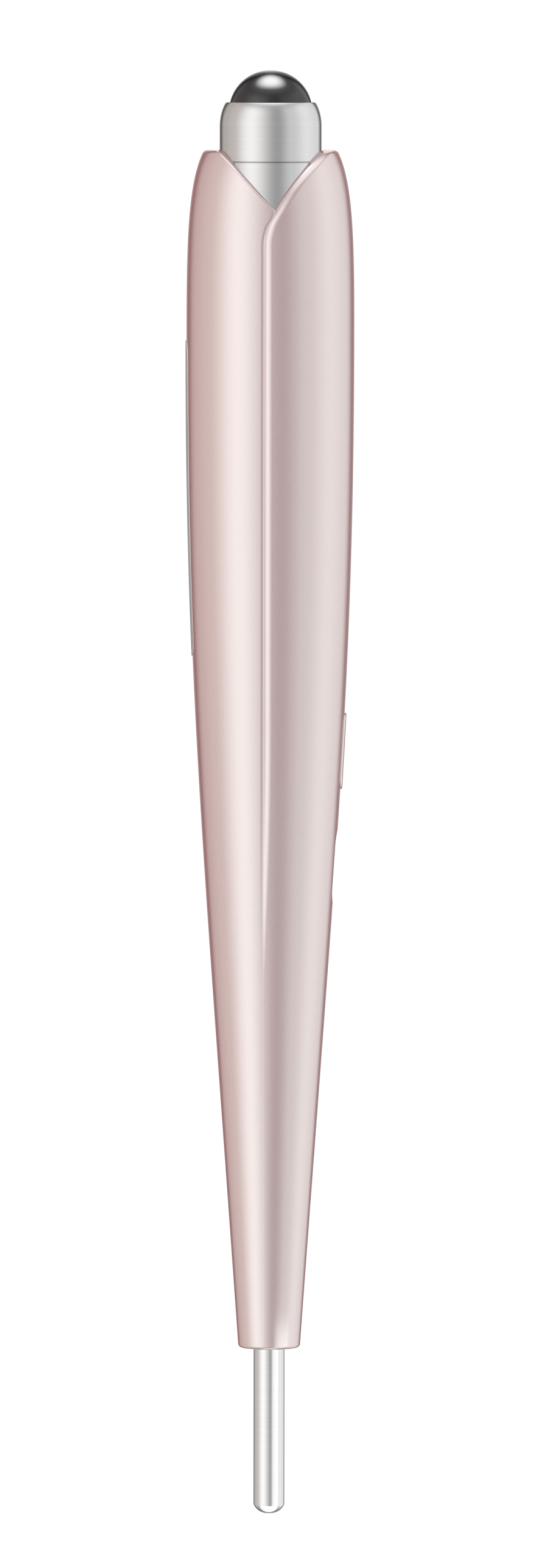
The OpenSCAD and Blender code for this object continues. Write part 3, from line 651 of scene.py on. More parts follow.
def drawn_tree(name):
    """Draws a round wire along a smooth curve through the points of a path."""
    sizes = [("Thickness", "Float", 0.8 * MM), ("Sides", "Int", 14), ("Step", "Float", 0.35 * MM)]
    tree, given = start_tree(name, sizes)
    path = put(tree, "GeometryNodeMeshToCurve", {"Mesh": given["Geometry"]})
    smooth = put(tree, "GeometryNodeCurveSplineType", {"Curve": path.outputs["Curve"]}, spline_type="CATMULL_ROM")
    inputs = {"Curve": smooth.outputs["Curve"], "Length": given["Step"]}
    even = put(tree, "GeometryNodeResampleCurve", inputs, mode="LENGTH")
    half = maths(tree, "MULTIPLY", given["Thickness"], 0.5)
    return finish_tree(tree, sweep(tree, even.outputs["Curve"], half, given["Sides"]), given)


def coil_tree(name):
    """Winds a compression spring that stands on the origin."""
    sizes = {"Turns": 7.0, "Coil Radius": 1.35 * MM, "Height": 7 * MM, "Wire": 0.4 * MM}
    tree, given = start_tree(name, [(label, "Float", size) for label, size in sizes.items()])
    inputs = {
        "Resolution": 40,
        "Rotations": given["Turns"],
        "Start Radius": given["Coil Radius"],
        "End Radius": given["Coil Radius"],
        "Height": given["Height"],
    }
    spiral = put(tree, "GeometryNodeCurveSpiral", inputs)
    half = maths(tree, "MULTIPLY", given["Wire"], 0.5)
    return finish_tree(tree, sweep(tree, spiral.outputs["Curve"], half, 12), given)


def spread_tree(name):
    """Sets a copy of a small part on every point it is given."""
    tree, given = start_tree(name, [("Part", "Object", None)])
    part = put(tree, "GeometryNodeObjectInfo", {"Object": given["Part"]})
    inputs = {"Points": given["Geometry"], "Instance": part.outputs["Geometry"]}
    return finish_tree(tree, put(tree, "GeometryNodeInstanceOnPoints", inputs).outputs["Instances"], given)


def run_tree(name, maker, source, values):
    """Runs a tree on a source mesh and returns the plain mesh that it makes."""
    tree = group_named(name, maker)
    carrier = new_piece("carrier", source)
    step = carrier.modifiers.new("Nodes", "NODES")
    step.node_group = tree
    sockets = {item.name: item.identifier for item in tree.interface.items_tree if item.in_out == "INPUT"}
    for label, value in values.items():
        step[sockets[label]] = value
    result = bpy.data.meshes.new_from_object(carrier.evaluated_get(bpy.context.evaluated_depsgraph_get()))
    bpy.data.objects.remove(carrier)
    if not result.polygons:
        raise RuntimeError(f"{name} made nothing")
    return result


def turned_piece(name, profile, node, body="handle", closed=False):
    """The finished piece that a profile of (radius, height) points makes, turned about the axis."""
    count = len(profile)
    edges = [(i, i + 1) for i in range(count - 1)] + ([(count - 1, 0)] if closed else [])
    line = mesh_from("profile", [(r - 1 * MM, -z, 0) for r, z in profile], [], edges)
    values = {"Segments": bpy.context.scene.stick_turned.segments, "Material": finish_for(SLOTS[node])}
    finish_piece(name, outward(run_tree("Turned Piece", turned_tree, line, values)), node, body)


def arc(centre, radius, start, stop, count):
    """Points on an arc of (radius, height), angles in degrees."""
    return [
        (centre[0] + radius * math.cos(a), centre[1] + radius * math.sin(a))
        for a in np.radians(np.linspace(start, stop, count + 1))
    ]


def steps(*spans):
    """Points of a stepped profile, from (radius, heights) spans."""
    return [(radius, z) for radius, *heights in spans for z in heights]


# Shader effects shared by several finishes


def noise(tree, place, scale, detail, **more):
    """Output of a Noise Texture."""
    return put(tree, "ShaderNodeTexNoise", {"Vector": place, "Scale": scale, "Detail": detail, **more}).outputs["Fac"]


def bumped(tree, height, depth):
    """Normal of a surface with this relief."""
    return put(tree, "ShaderNodeBump", {"Strength": 0.5, "Height": height, "Distance": depth}).outputs["Normal"]


def grain_group(name):
    """Fine grain, stretched as asked: a mask for colour and gloss, and a normal."""
    inputs = [("Stretch", "Vector", (1.0, 1.0, 1.0)), ("Scale", "Float", 2000.0), ("Depth", "Float", 0.02 * MM)]
    outputs = [("Mask", "Float"), ("Broad", "Float"), ("Normal", "Vector")]
    group, given = start_group(name, "ShaderNodeTree", inputs, outputs)
    place = put(group, "ShaderNodeTexCoord").outputs["Object"]
    stretched = put(group, "ShaderNodeVectorMath", {0: place, 1: given["Stretch"]}, operation="MULTIPLY")
    fine = noise(group, stretched.outputs[0], given["Scale"], 4, Roughness=0.6)
    relief = bumped(group, fine, given["Depth"])
    put(group, "NodeGroupOutput", {"Mask": fine, "Broad": noise(group, place, 120, 2), "Normal": relief})
    return group


def turning_group(name):
    """Fine rings left by turning, about the stick's axis."""
    inputs = [("Pitch", "Float", 9000.0), ("Depth", "Float", 0.004 * MM)]
    group, given = start_group(name, "ShaderNodeTree", inputs, [("Mask", "Float"), ("Normal", "Vector")])
    place = put(group, "ShaderNodeTexCoord").outputs["Object"]
    x, y, z = put(group, "ShaderNodeSeparateXYZ", {0: place}).outputs
    rise = maths(group, "SUBTRACT", z, AXIS_Z)
    square = maths(group, "ADD", maths(group, "MULTIPLY", y, y), maths(group, "MULTIPLY", rise, rise))
    pair = put(group, "ShaderNodeCombineXYZ", {"X": x, "Y": maths(group, "SQRT", square)})
    rings = noise(group, pair.outputs[0], given["Pitch"], 3)
    put(group, "NodeGroupOutput", {"Mask": rings, "Normal": bumped(group, rings, given["Depth"])})
    return group


def effect(tree, name, maker, **values):
    """A shared effect placed in a material with its own values."""
    return put(tree, "ShaderNodeGroup", values, node_tree=group_named(name, maker)).outputs


def mapped(tree, value, low, high, to_low, to_high, kind="SMOOTHSTEP"):
    """A value mapped from one range to another."""
    ends = {"Value": value, "From Min": low, "From Max": high, "To Min": to_low, "To Max": to_high}
    return put(tree, "ShaderNodeMapRange", ends, interpolation_type=kind).outputs["Result"]


def color_ramp(tree, value, stops, kind="LINEAR"):
    """Colour over a value, from (position, colour) stops."""
    node = put(tree, "ShaderNodeValToRGB", {"Fac": value})
    node.color_ramp.interpolation = kind
    spots = node.color_ramp.elements
    while len(spots) < len(stops):
        spots.new(0.5)
    for spot, (position, color) in zip(spots, stops):
        spot.position = position
        spot.color = (*color, 1)
    return node.outputs["Color"]


# Finishes

PROBE_STEEL = (0.6, 0.6, 0.6)
# Middle part of a noise's range, which is stretched to the whole of it
NOISE_LOW, NOISE_HIGH = 0.3, 0.7


def clear_nodes(owner):
    """The node tree of a material or a world, emptied."""
    owner.use_nodes = True
    owner.node_tree.nodes.clear()
    return owner.node_tree


def new_finish(name):
    finish = bpy.data.materials.new(name)
    return finish, clear_nodes(finish)


def end_finish(tree, marks, color, roughness, spread, metallic, gloss=None):
    """Ends a finish, its gloss and surface varied by the marks."""
    low, high = max(roughness - spread, 0.02), roughness + spread
    inputs = {
        "Base Color": color,
        "Roughness": mapped(tree, marks["Mask"], NOISE_LOW, NOISE_HIGH, low, high, "LINEAR"),
        "Metallic": metallic,
        "Normal": marks["Normal"],
        **(gloss or {}),
    }
    shader = put(tree, "ShaderNodeBsdfPrincipled", inputs)
    put(tree, "ShaderNodeOutputMaterial", {"Surface": shader.outputs[0]})


def over_noise(tree, mask, dark, light):
    """Colour from dark to light over the middle of a noise's range."""
    return color_ramp(tree, mask, [(NOISE_LOW, dark), (NOISE_HIGH, light)])


def show_sum(tree, *shaders):
    """Ends a material that shows two shaders added up."""
    both = put(tree, "ShaderNodeAddShader", {i: shader.outputs[0] for i, shader in enumerate(shaders)})
    put(tree, "ShaderNodeOutputMaterial", {"Surface": both.outputs[0]})


def shades(color, dark, light):
    """A colour made darker and lighter by two factors."""
    return [tuple(min(c * factor, 1) for c in color) for factor in (dark, light)]


def grained(name, dark, light, roughness, metallic, scale, depth, stretch=(1, 1, 1), spread=0.06):
    """A finish with fine grain in its colour, gloss and surface."""
    finish, tree = new_finish(name)
    grain = effect(tree, "Fine Grain", grain_group, Scale=scale, Depth=depth * MM, Stretch=stretch)
    end_finish(tree, grain, over_noise(tree, grain["Broad"], dark, light), roughness, spread, metallic)
    return finish


def turned_steel(name, color, roughness, pitch, depth):
    """Steel with fine rings left by turning."""
    finish, tree = new_finish(name)
    marks = effect(tree, "Turning Marks", turning_group, Pitch=pitch, Depth=depth * MM)
    dark, light = shades(color, 0.97, 1.02)
    end_finish(tree, marks, over_noise(tree, marks["Mask"], dark, light), roughness, 0.03, 1.0)
    return finish


def pearl_lacquer(name):
    """Pearl lacquer: a strong tinted gloss over a rose coat whose colour varies in fine flake cells, partly the
    flakes' own tone and partly a painted sparkle.
    """
    s = bpy.context.scene.stick_finish
    finish, tree = new_finish(name)
    grain = effect(tree, "Fine Grain", grain_group, Scale=9000, Depth=0.0012 * MM)
    place = put(tree, "ShaderNodeTexCoord").outputs["Object"]
    # Flake cells make the coat's colour a little lighter or darker at random: partly flake tone, partly a painted
    # sparkle standing in for glints off tilted flakes
    flake_tone_and_sparkle = put(tree, "ShaderNodeTexVoronoi", {"Vector": place, "Scale": 11000}).outputs["Color"]
    stops = [(spot, tuple(c + change for c in s.rose)) for spot, change in ((0.25, -0.03), (0.75, 0.03))]
    gloss = {"IOR": 3, "Specular IOR Level": 1, "Specular Tint": (*s.pearl, 1)}
    end_finish(tree, grain, color_ramp(tree, flake_tone_and_sparkle, stops), s.lacquer_roughness, 0.02, 0.0, gloss)
    return finish


def satin_steel(name):
    return turned_steel(name, bpy.context.scene.stick_finish.steel, 0.15, 5200, 0.002)


def probe_steel(name):
    return turned_steel(name, PROBE_STEEL, 0.06, 7000, 0.0006)


def strip_steel(name):
    """Brushed along the strip, which is along the row frame's X."""
    dark, light = shades(bpy.context.scene.stick_finish.steel, 1.08, 1.22)
    return grained(name, dark, light, 0.45, 1.0, 6000, 0.002, (0.03, 1, 1))


def dark_ball(name):
    dark, light = shades(bpy.context.scene.stick_finish.ball, 0.95, 1.05)
    return grained(name, dark, light, 0.13, 1.0, 5000, 0.0006, spread=0.02)


OUTER_FINISHES = {
    "pearl_shell": ("Pearl Lacquer", pearl_lacquer),
    "satin_steel": ("Satin Steel", satin_steel),
    "probe_steel": ("Polished Probe Steel", probe_steel),
    "strip_steel": ("Brushed Strip Steel", strip_steel),
    "dark_ball": ("Dark Polished Ball", dark_ball),
}
# Finishes of the inner parts: name, dark and light colour, roughness, metal, scale and depth of the grain in mm
INNER_FINISHES = {
    "contact_brass": ("Contact Brass", (0.69, 0.47, 0.19), (0.8, 0.58, 0.27), 0.26, 1.0, 3500, 0.004),
    "spring_steel": ("Spring Steel", (0.48, 0.48, 0.49), (0.6, 0.6, 0.61), 0.28, 1.0, 4200, 0.004),
    "white_nylon": ("White Nylon", (0.78, 0.76, 0.7), (0.84, 0.82, 0.77), 0.45, 0.0, 1800, 0.012),
    "seal_rubber": ("Seal Rubber", (0.016, 0.016, 0.017), (0.026, 0.026, 0.027), 0.6, 0.0, 2600, 0.012),
    "cell_pouch": ("Cell Pouch", (0.42, 0.47, 0.55), (0.52, 0.57, 0.65), 0.34, 0.85, 900, 0.03),
    "board_laminate": ("Board Laminate", (0.012, 0.1, 0.045), (0.02, 0.15, 0.07), 0.4, 0.0, 2200, 0.008),
    "black_plastic": ("Black Plastic", (0.02, 0.021, 0.023), (0.032, 0.033, 0.035), 0.5, 0.0, 3000, 0.012),
    "ferrite": ("Ferrite", (0.05, 0.051, 0.055), (0.085, 0.086, 0.09), 0.62, 0.0, 2400, 0.02),
    "ceramic": ("Ceramic", (0.38, 0.27, 0.17), (0.5, 0.37, 0.25), 0.42, 0.0, 2800, 0.006),
    "led_lens": ("Lens", (0.8, 0.78, 0.6), (0.9, 0.88, 0.72), 0.18, 0.0, 1200, 0.003),
    "plated_can": ("Plated Can", (0.62, 0.62, 0.61), (0.72, 0.72, 0.71), 0.22, 1.0, 3200, 0.003),
}
WIRE_COLORS = {
    "red": ((0.42, 0.02, 0.014), (0.5, 0.03, 0.02)),
    "black": ((0.015, 0.015, 0.016), (0.024, 0.024, 0.025)),
    "blue": ((0.014, 0.06, 0.3), (0.02, 0.08, 0.38)),
    "white": ((0.74, 0.73, 0.7), (0.82, 0.81, 0.78)),
    "yellow": ((0.7, 0.38, 0.05), (0.8, 0.46, 0.07)),
}
INNER_FINISHES |= {
    f"wire_{color}": (f"{color.title()} Insulation", *pair, 0.36, 0.0, 2600, 0.004)
    for color, pair in WIRE_COLORS.items()
}


def finish_for(slot):
    """The finish of a material slot, made when it is first needed."""
    if slot in INNER_FINISHES:
        name, *values = INNER_FINISHES[slot]
        return bpy.data.materials.get(name) or grained(name, *values)
    name, maker = OUTER_FINISHES[slot]
    return bpy.data.materials.get(name) or maker(name)


# Pieces

POST_R, POST_BORE_R = 1.8 * MM, 0.82 * MM
HOLE_R = 0.85 * MM
RECESS_DEPTH = 0.6 * MM
HEAD_DEPTH = 1.7 * MM
# Reaches in y from which the cutters start in the cavity, and one past the casing
BIG_CUT_Y, SMALL_CUT_Y, PAST_Y = 2 * MM, 5 * MM, 14 * MM


def casing_half(has_port, rests, fine_spans):
    """Closed blank of one casing half, upright, with its rolled edge at the front."""
    s = bpy.context.scene.stick_casing
    rings = []
    for z, inset in section_rows(fine_spans, s):
        flat = half_section(z, inset, s, has_port, rests)
        rings.append(np.column_stack((flat, np.full(len(flat), z))))
    return loft("casing_half", rings)


def posts():
    """Posts inside a half that the case screws pull together."""
    wall = bpy.context.scene.stick_casing.wall
    outside, inside = circle(POST_R, 48), circle(POST_BORE_R, 48)
    return [sleeve("post", outside, inside, z, 0.05 * MM, radius_at(z) - wall / 2) for z in SCREW_ZS]


def socket_outline(grow):
    """Outline of the charging socket with two corners cut off."""
    a, b, c = 1.3 * MM + grow, 3.75 * MM + grow, 0.7 * MM
    return [(-a, -b), (a - c, -b), (a, -b + c), (a, b - c), (a - c, b), (-a, b)]


def seat_reach(scene):
    """Reach in y of the inner face of the button's seat."""
    return radius_at(SEAT_Z) - scene.stick_casing.wall - 0.65 * MM


def head_reach(z):
    """Reach in y of the seat of a case screw's head."""
    return radius_at(z) - HEAD_DEPTH


def level(y):
    """Flat face of a slot block."""
    return lambda x, z: np.full(len(x), y)


def over_casing(rise):
    """Face of a slot block that follows the round of the casing."""
    return lambda x, z: np.sqrt((outer_radius(z) + rise) ** 2 - x**2)


class STICK_OT_casing(bpy.types.Operator):
    """Make the two casing halves that lap over each other at the notch"""

    bl_idname = "stick.casing"
    bl_label = "Casing Halves"

    def execute(self, context):
        c = context.scene.stick_controls
        gap = 0.08 * MM
        slot = stadium(c.button_length + 2 * gap, c.button_width + 2 * gap)
        openings = [
            prism("button_opening", slot, BUTTON_Z, BIG_CUT_Y, PAST_Y),
            prism("socket_opening", socket_outline(0.2 * MM), PORT_Z, BIG_CUT_Y, PAST_Y),
        ]
        half = cut(casing_half(True, False, [(78 * MM, 107 * MM, 0.3 * MM)]), openings)
        rim = stadium(c.button_length + 3 * MM, c.button_width + 3 * MM)
        seat = sleeve("button_seat", rim, slot, BUTTON_Z, seat_reach(context.scene), 8.2 * MM)
        upper = finish_piece("button_side_casing", join([half, seat, *posts()]), "button_shell")

        # The cutters end at different reaches, so that no two of their faces fall together
        length, width = c.strip_length + 0.1 * MM, c.strip_width + 0.1 * MM
        cutters = [
            slot_block("strip_recess", length, width, STRIP_Z, level(PAST_Y), over_casing(-RECESS_DEPTH)),
            bar("stud_hole", HOLE_R, STRIP_Z, SMALL_CUT_Y, 13.7 * MM),
        ]
        for z in SCREW_ZS:
            cutters.append(bar("head_hole", 1.5 * MM, z, head_reach(z), 13.8 * MM))
            cutters.append(bar("screw_hole", HOLE_R, z, SMALL_CUT_Y, 13.9 * MM))
        half = cut(casing_half(False, True, [(111 * MM, 156 * MM, 0.6 * MM)]), cutters)
        lower = finish_piece("palm_side_casing", join([half, *posts()]), "palm_shell", turned=True)
        upper.visible_glossy = lower.visible_glossy = False
        return {"FINISHED"}


class STICK_OT_button(bpy.types.Operator):
    """Make the long push button with its flange and foot"""

    bl_idname = "stick.button"
    bl_label = "Push Button"

    def execute(self, context):
        c = context.scene.stick_controls
        under = seat_reach(context.scene) - 0.05 * MM - 0.75 * MM
        top, low = over_casing(c.button_proud), level(under + 0.2 * MM)
        cap = slot_block("cap", c.button_length, c.button_width, BUTTON_Z, top, low, c.button_edge)
        length, width = c.button_length + 1.6 * MM, c.button_width + 1.6 * MM
        flange = slot_block("flange", length, width, BUTTON_Z, level(under + 0.75 * MM), level(under), 0.1 * MM)
        foot = bar("foot", 1.2 * MM, BUTTON_Z, 5 * MM, under + 0.1 * MM)
        finish_piece("long_push_button", join([cap, flange, foot]), "push_button", "button")
        return {"FINISHED"}


class STICK_OT_strip(bpy.types.Operator):
    """Make the crowned electrode strip under the palm"""

    bl_idname = "stick.strip"
    bl_label = "Palm Strip"

    def execute(self, context):
        c = context.scene.stick_controls
        drop = 4.5 * MM

        def crown(x, z):
            return drop + c.strip_proud + np.sqrt((outer_radius(z) - drop) ** 2 - x**2)

        floor = over_casing(-RECESS_DEPTH)
        strip = slot_block("strip", c.strip_length, c.strip_width, STRIP_Z, crown, floor, c.strip_edge)
        stud = bar("stud", 0.8 * MM, STRIP_Z, 7.89 * MM, radius_at(STRIP_Z) - 0.3 * MM)
        finish_piece("crowned_palm_strip", join([strip, stud]), "palm_strip", turned=True)
        return {"FINISHED"}


class STICK_OT_head(bpy.types.Operator):
    """Make the turned collar and neck and the roller ball"""

    bl_idname = "stick.head"
    bl_label = "Ball, Collar and Neck"

    def execute(self, context):
        chamfer = context.scene.stick_turned.chamfer
        nest_z = BALL_Z - math.sqrt(NEST_R**2 - (BALL_R * NEST_SHARE - 0.35 * MM) ** 2)
        shoulder = cubic(
            (COLLAR_R, COLLAR_TOP_Z - 3.1 * MM), (COLLAR_R, COLLAR_TOP_Z - 1.6 * MM),
            (COLLAR_R - 0.5 * MM, COLLAR_TOP_Z - 0.4 * MM), (COLLAR_R - 0.8 * MM, COLLAR_TOP_Z), 28,
        )
        low, high = (math.degrees(math.asin((z - BALL_Z) / NEST_R)) for z in (nest_z, COLLAR_TOP_Z - 0.25 * MM))
        collar = [
            (THREAD_R + 0.05 * MM, COLLAR_Z),
            (COLLAR_R - chamfer, COLLAR_Z),
            *[(COLLAR_R, COLLAR_Z + chamfer + k * 0.9 * MM) for k in range(5)],
            *shoulder,
            *arc((0, BALL_Z), NEST_R, high, low, 24),
            (THREAD_R + 0.05 * MM, nest_z),
        ]
        turned_piece("ball_holding_collar", collar, "ball_collar", closed=True)
        groove_low, groove_high, groove_r = COLLAR_Z + 0.23 * MM, COLLAR_Z + 1.17 * MM, THREAD_R - 0.86 * MM
        spigot_r, flange_r, flange_z = 4.5 * MM, 8.55 * MM, ROOT_Z - 2.1 * MM
        foot_z = flange_z - 6.5 * MM
        cup_r, cup_z = BALL_R * NEST_SHARE + 0.02 * MM, nest_z - 5.1 * MM
        bore_r, bore_z = 1.6 * MM, flange_z - 0.5 * MM
        neck = [
            *steps((0, foot_z), (spigot_r - 0.3 * MM, foot_z), (spigot_r, foot_z + 0.3 * MM, flange_z)),
            *steps((flange_r, flange_z, ROOT_Z)),
            *steps((COLLAR_R, *[ROOT_Z + k * 1.1 * MM for k in range(9)], COLLAR_Z - chamfer)),
            (COLLAR_R - chamfer, COLLAR_Z),
            *steps((THREAD_R, COLLAR_Z, groove_low), (groove_r, groove_low, groove_high)),
            *steps((THREAD_R, groove_high, nest_z), (cup_r, nest_z, cup_z), (bore_r, cup_z, bore_z), (0, bore_z)),
        ]
        turned_piece("turned_neck", neck, "neck")
        turned_piece("polished_roller_ball", arc((0, BALL_Z), BALL_R, -90, 90, 96), "roller_ball", "ball")
        return {"FINISHED"}


class STICK_OT_probe(bpy.types.Operator):
    """Make the domed probe rod with its thinner root and clip groove"""

    bl_idname = "stick.probe"
    bl_label = "Probe Rod"

    def execute(self, context):
        dome = context.scene.stick_turned.rod_dome
        dome_r = (ROD_R**2 + dome**2) / (2 * dome)
        kept_share, ease = 0.93, 0.342 * MM
        reach = math.degrees(math.asin(ROD_R / dome_r)) * kept_share
        tip = arc((0, dome_r), dome_r, -90, -90 + reach, 24)
        bend = math.radians(90 - reach)
        start = np.array(tip[-1])
        corner = np.array((ROD_R, start[1] + (ROD_R - start[0]) / math.tan(bend)))
        stop = np.array((ROD_R, start[1] + ease))
        t = np.linspace(0, 1, 8)[1:, None]
        round_over = (1 - t) ** 2 * start + 2 * (1 - t) * t * corner + t * t * stop
        top_z = ROD_HIGH.x - ROD_LOW.x
        clip_low, clip_high, clip_r = top_z - 1.8 * MM, top_z - 1.2 * MM, CORE_R - 0.4 * MM
        step_z = END_Z - 0.05 * MM
        rod = [
            *tip,
            *[tuple(p) for p in round_over],
            *[(ROD_R, z) for z in np.linspace(stop[1] + 0.6 * MM, END_Z - 0.3 * MM, 16)],
            *steps((ROD_R, step_z), (CORE_R, step_z, clip_low), (clip_r, clip_low, clip_high)),
            *steps((CORE_R, clip_high, top_z - 0.3 * MM), (CORE_R - 0.3 * MM, top_z), (0, top_z)),
        ]
        turned_piece("domed_probe_rod", rod, "probe_rod")
        return {"FINISHED"}


# Ways of the wires through the upright stick, in millimetres
WIRES = {
    "battery_lead_red": ((1, 2.6, 111), (1, 2.6, 111.8), (2.7, 2.3, 114.6), (3, 2, 117), (3, 2, 117.9), (3, 2, 118.7)),
    "battery_lead_black": (
        (-1, 2.6, 111), (-1, 2.6, 111.8), (-2.7, 2.3, 114.6), (-3, 2, 117), (-3, 2, 117.9), (-3, 2, 118.7),
    ),
    "rod_lead": (
        (0, 2.975, 52.05), (0, 2.975, 52.85), (0, 2.65, 56.95), (0, 1.95, 59.55), (0, 1.8, 60.75), (0, 1, 60.75),
    ),
    "ball_lead": (
        (2.5, 0.5, 159.5), (2.5, 0.5, 158.7), (3.2, 3.8, 154), (3.2, 4.4, 151.4), (3.2, 4.4, 133.7), (3.2, 4.4, 119.7),
        (4.4, 3.8, 116), (4.9, 2.8, 110.4), (5, 1.8, 109.2), (5, 1, 109.2),
    ),
    "strip_lead": (
        (0, -6.8145, 122.7), (0, -6.8145, 121.9), (2.6, -5.8145, 118.4), (3, -4.8145, 116), (2.6, -3, 111),
        (2.5, -1.8, 109.4), (2.5, -0.8, 109), (2.5, 0, 109),
    ),
}
SPRING_Z = 165.7 * MM
THREAD_Y = -4.9 * MM
# First and next chips along the board, and how far from its middle, in millimetres
CHIP_Z, CHIP_STEP, CHIP_X = 65.45, 2.6, 3.6


def wound(turns, radius, height, wire, place):
    """Mesh of a wound wire, radius and height in millimetres, moved into its place."""
    values = {"Turns": turns, "Coil Radius": radius * MM, "Height": height * MM, "Wire": wire}
    values["Material"] = finish_for("spring_steel")
    coil = outward(run_tree("Wound Spring", coil_tree, bpy.data.meshes.new("none"), values))
    coil.transform(place)
    return coil


class STICK_OT_insides(bpy.types.Operator):
    """Make the wires, the spring, the small chips and the screws, and give the other inner parts their finishes"""

    bl_idname = "stick.insides"
    bl_label = "Inner Parts"

    def execute(self, context):
        s = context.scene.stick_turned
        for node, slot in SLOTS.items():
            if slot in INNER_FINISHES:
                frame["nodes"][node].data.materials.clear()
                frame["nodes"][node].data.materials.append(finish_for(slot))
        for node, way in WIRES.items():
            self.wire(node, np.array(way), s.wire)
        place = Matrix.Translation((0, 0, SPRING_Z))
        spring = wound(s.spring_turns, 1.35, 6.84, s.spring_wire, place)
        finish_piece("wound_contact_spring", spring, "contact_spring")
        self.chips()
        screws = [part for z in SCREW_ZS for part in self.screw(z)]
        finish_piece("cross_head_screws", join(screws), "case_screws", turned=True)
        return {"FINISHED"}

    def wire(self, node, way, thickness):
        """A wire along its way, with a point added at each end to keep the ends straight."""
        way = [way[0], (way[0] + way[1]) / 2, *way[1:-1], (way[-2] + way[-1]) / 2, way[-1]]
        path = mesh_from("path", [p * MM for p in way], [], [(i, i + 1) for i in range(len(way) - 1)])
        values = {"Thickness": thickness, "Material": finish_for(SLOTS[node])}
        finish_piece(f"{node}_wire", outward(run_tree("Drawn Wire", drawn_tree, path, values)), node)

    def chips(self):
        """Small chips: a ceramic block with a cap at each end, set on the board in two rows."""
        blocks = []
        for width, rise, low, high in ((0.74, 0.47, -0.76, 0.76), (0.8, 0.5, -0.8, -0.5), (0.8, 0.5, 0.5, 0.8)):
            outline = np.array([(-width / 2, low), (width / 2, low), (width / 2, high), (-width / 2, high)]) * MM
            blocks.append(prism("chip", outline, 0, 0, rise * MM))
        sample = new_piece("chip_sample", join(blocks))
        spots = [(x * MM, 1 * MM, (CHIP_Z + CHIP_STEP * i) * MM) for i in range(4) for x in (-CHIP_X, CHIP_X)]
        values = {"Part": sample, "Material": finish_for("ceramic")}
        chips = run_tree("Parts on Points", spread_tree, mesh_from("points", spots, []), values)
        bpy.data.objects.remove(sample)
        finish_piece("small_chips", chips, "chip_parts")

    def screw(self, z):
        """Meshes of one case screw: head with a cross recess, shank and wound thread."""
        seat = head_reach(z)
        outline = ((1.45, 0), (1.45, 0.62), (1.3, 0.82), (1.05, 0.9))
        head = loft("head", [layer(circle(r * MM), z, seat + y * MM) for r, y in outline])
        a, b = 0.15 * MM, 0.75 * MM
        cross = [
            (a, b), (-a, b), (-a, a), (-b, a), (-b, -a), (-a, -a), (-a, -b), (a, -b), (a, -a), (b, -a), (b, a), (a, a),
        ]
        recess = prism("recess", cross, z, seat + 0.45 * MM, seat + 1.2 * MM)
        place = Matrix.Translation((0, THREAD_Y, z)) @ Matrix.Rotation(-math.pi / 2, 4, "X")
        thread = wound(9, 0.7, 4.2, 0.18 * MM, place)
        return cut(head, [recess]), bar("shank", 0.7 * MM, z, -5 * MM, seat + 0.3 * MM), thread


# Light by angle about the stick, in degrees from straight above towards the button side, with
# its warmth: a long soft light on each side, a weaker fill between them and dark flags low down
SKY = (
    (-180, 0.9, 0.05), (-168, 0.4, 0.06), (-153, 0.05, 0.08), (-130, 0.38, 0.08), (-95, 0.47, 0.08), (-46, 0.9, 0.02),
    (16, 0.32), (50, 0.57), (90, 0.76), (132, 0.65), (153, 0.07), (168, 0.4, 0.05), (180, 0.9, 0.05),
)


# Levels at the sky's two ends, first past the rod and then past the ball, and of the lamp past the ball
LOW_ENDS, HIGH_ENDS, END_LAMP = (0.28, 0.04), (0.28, 0.37), 0.5

# Distances from a card between which its light may weaken
CARD_NEAR, CARD_FAR = 9 * MM, 15 * MM

# The floor's colour, which takes shadows, and its even glow
FLOOR_COLOR, FLOOR_GLOW = (0.1, 0.1, 0.1, 1), 0.95


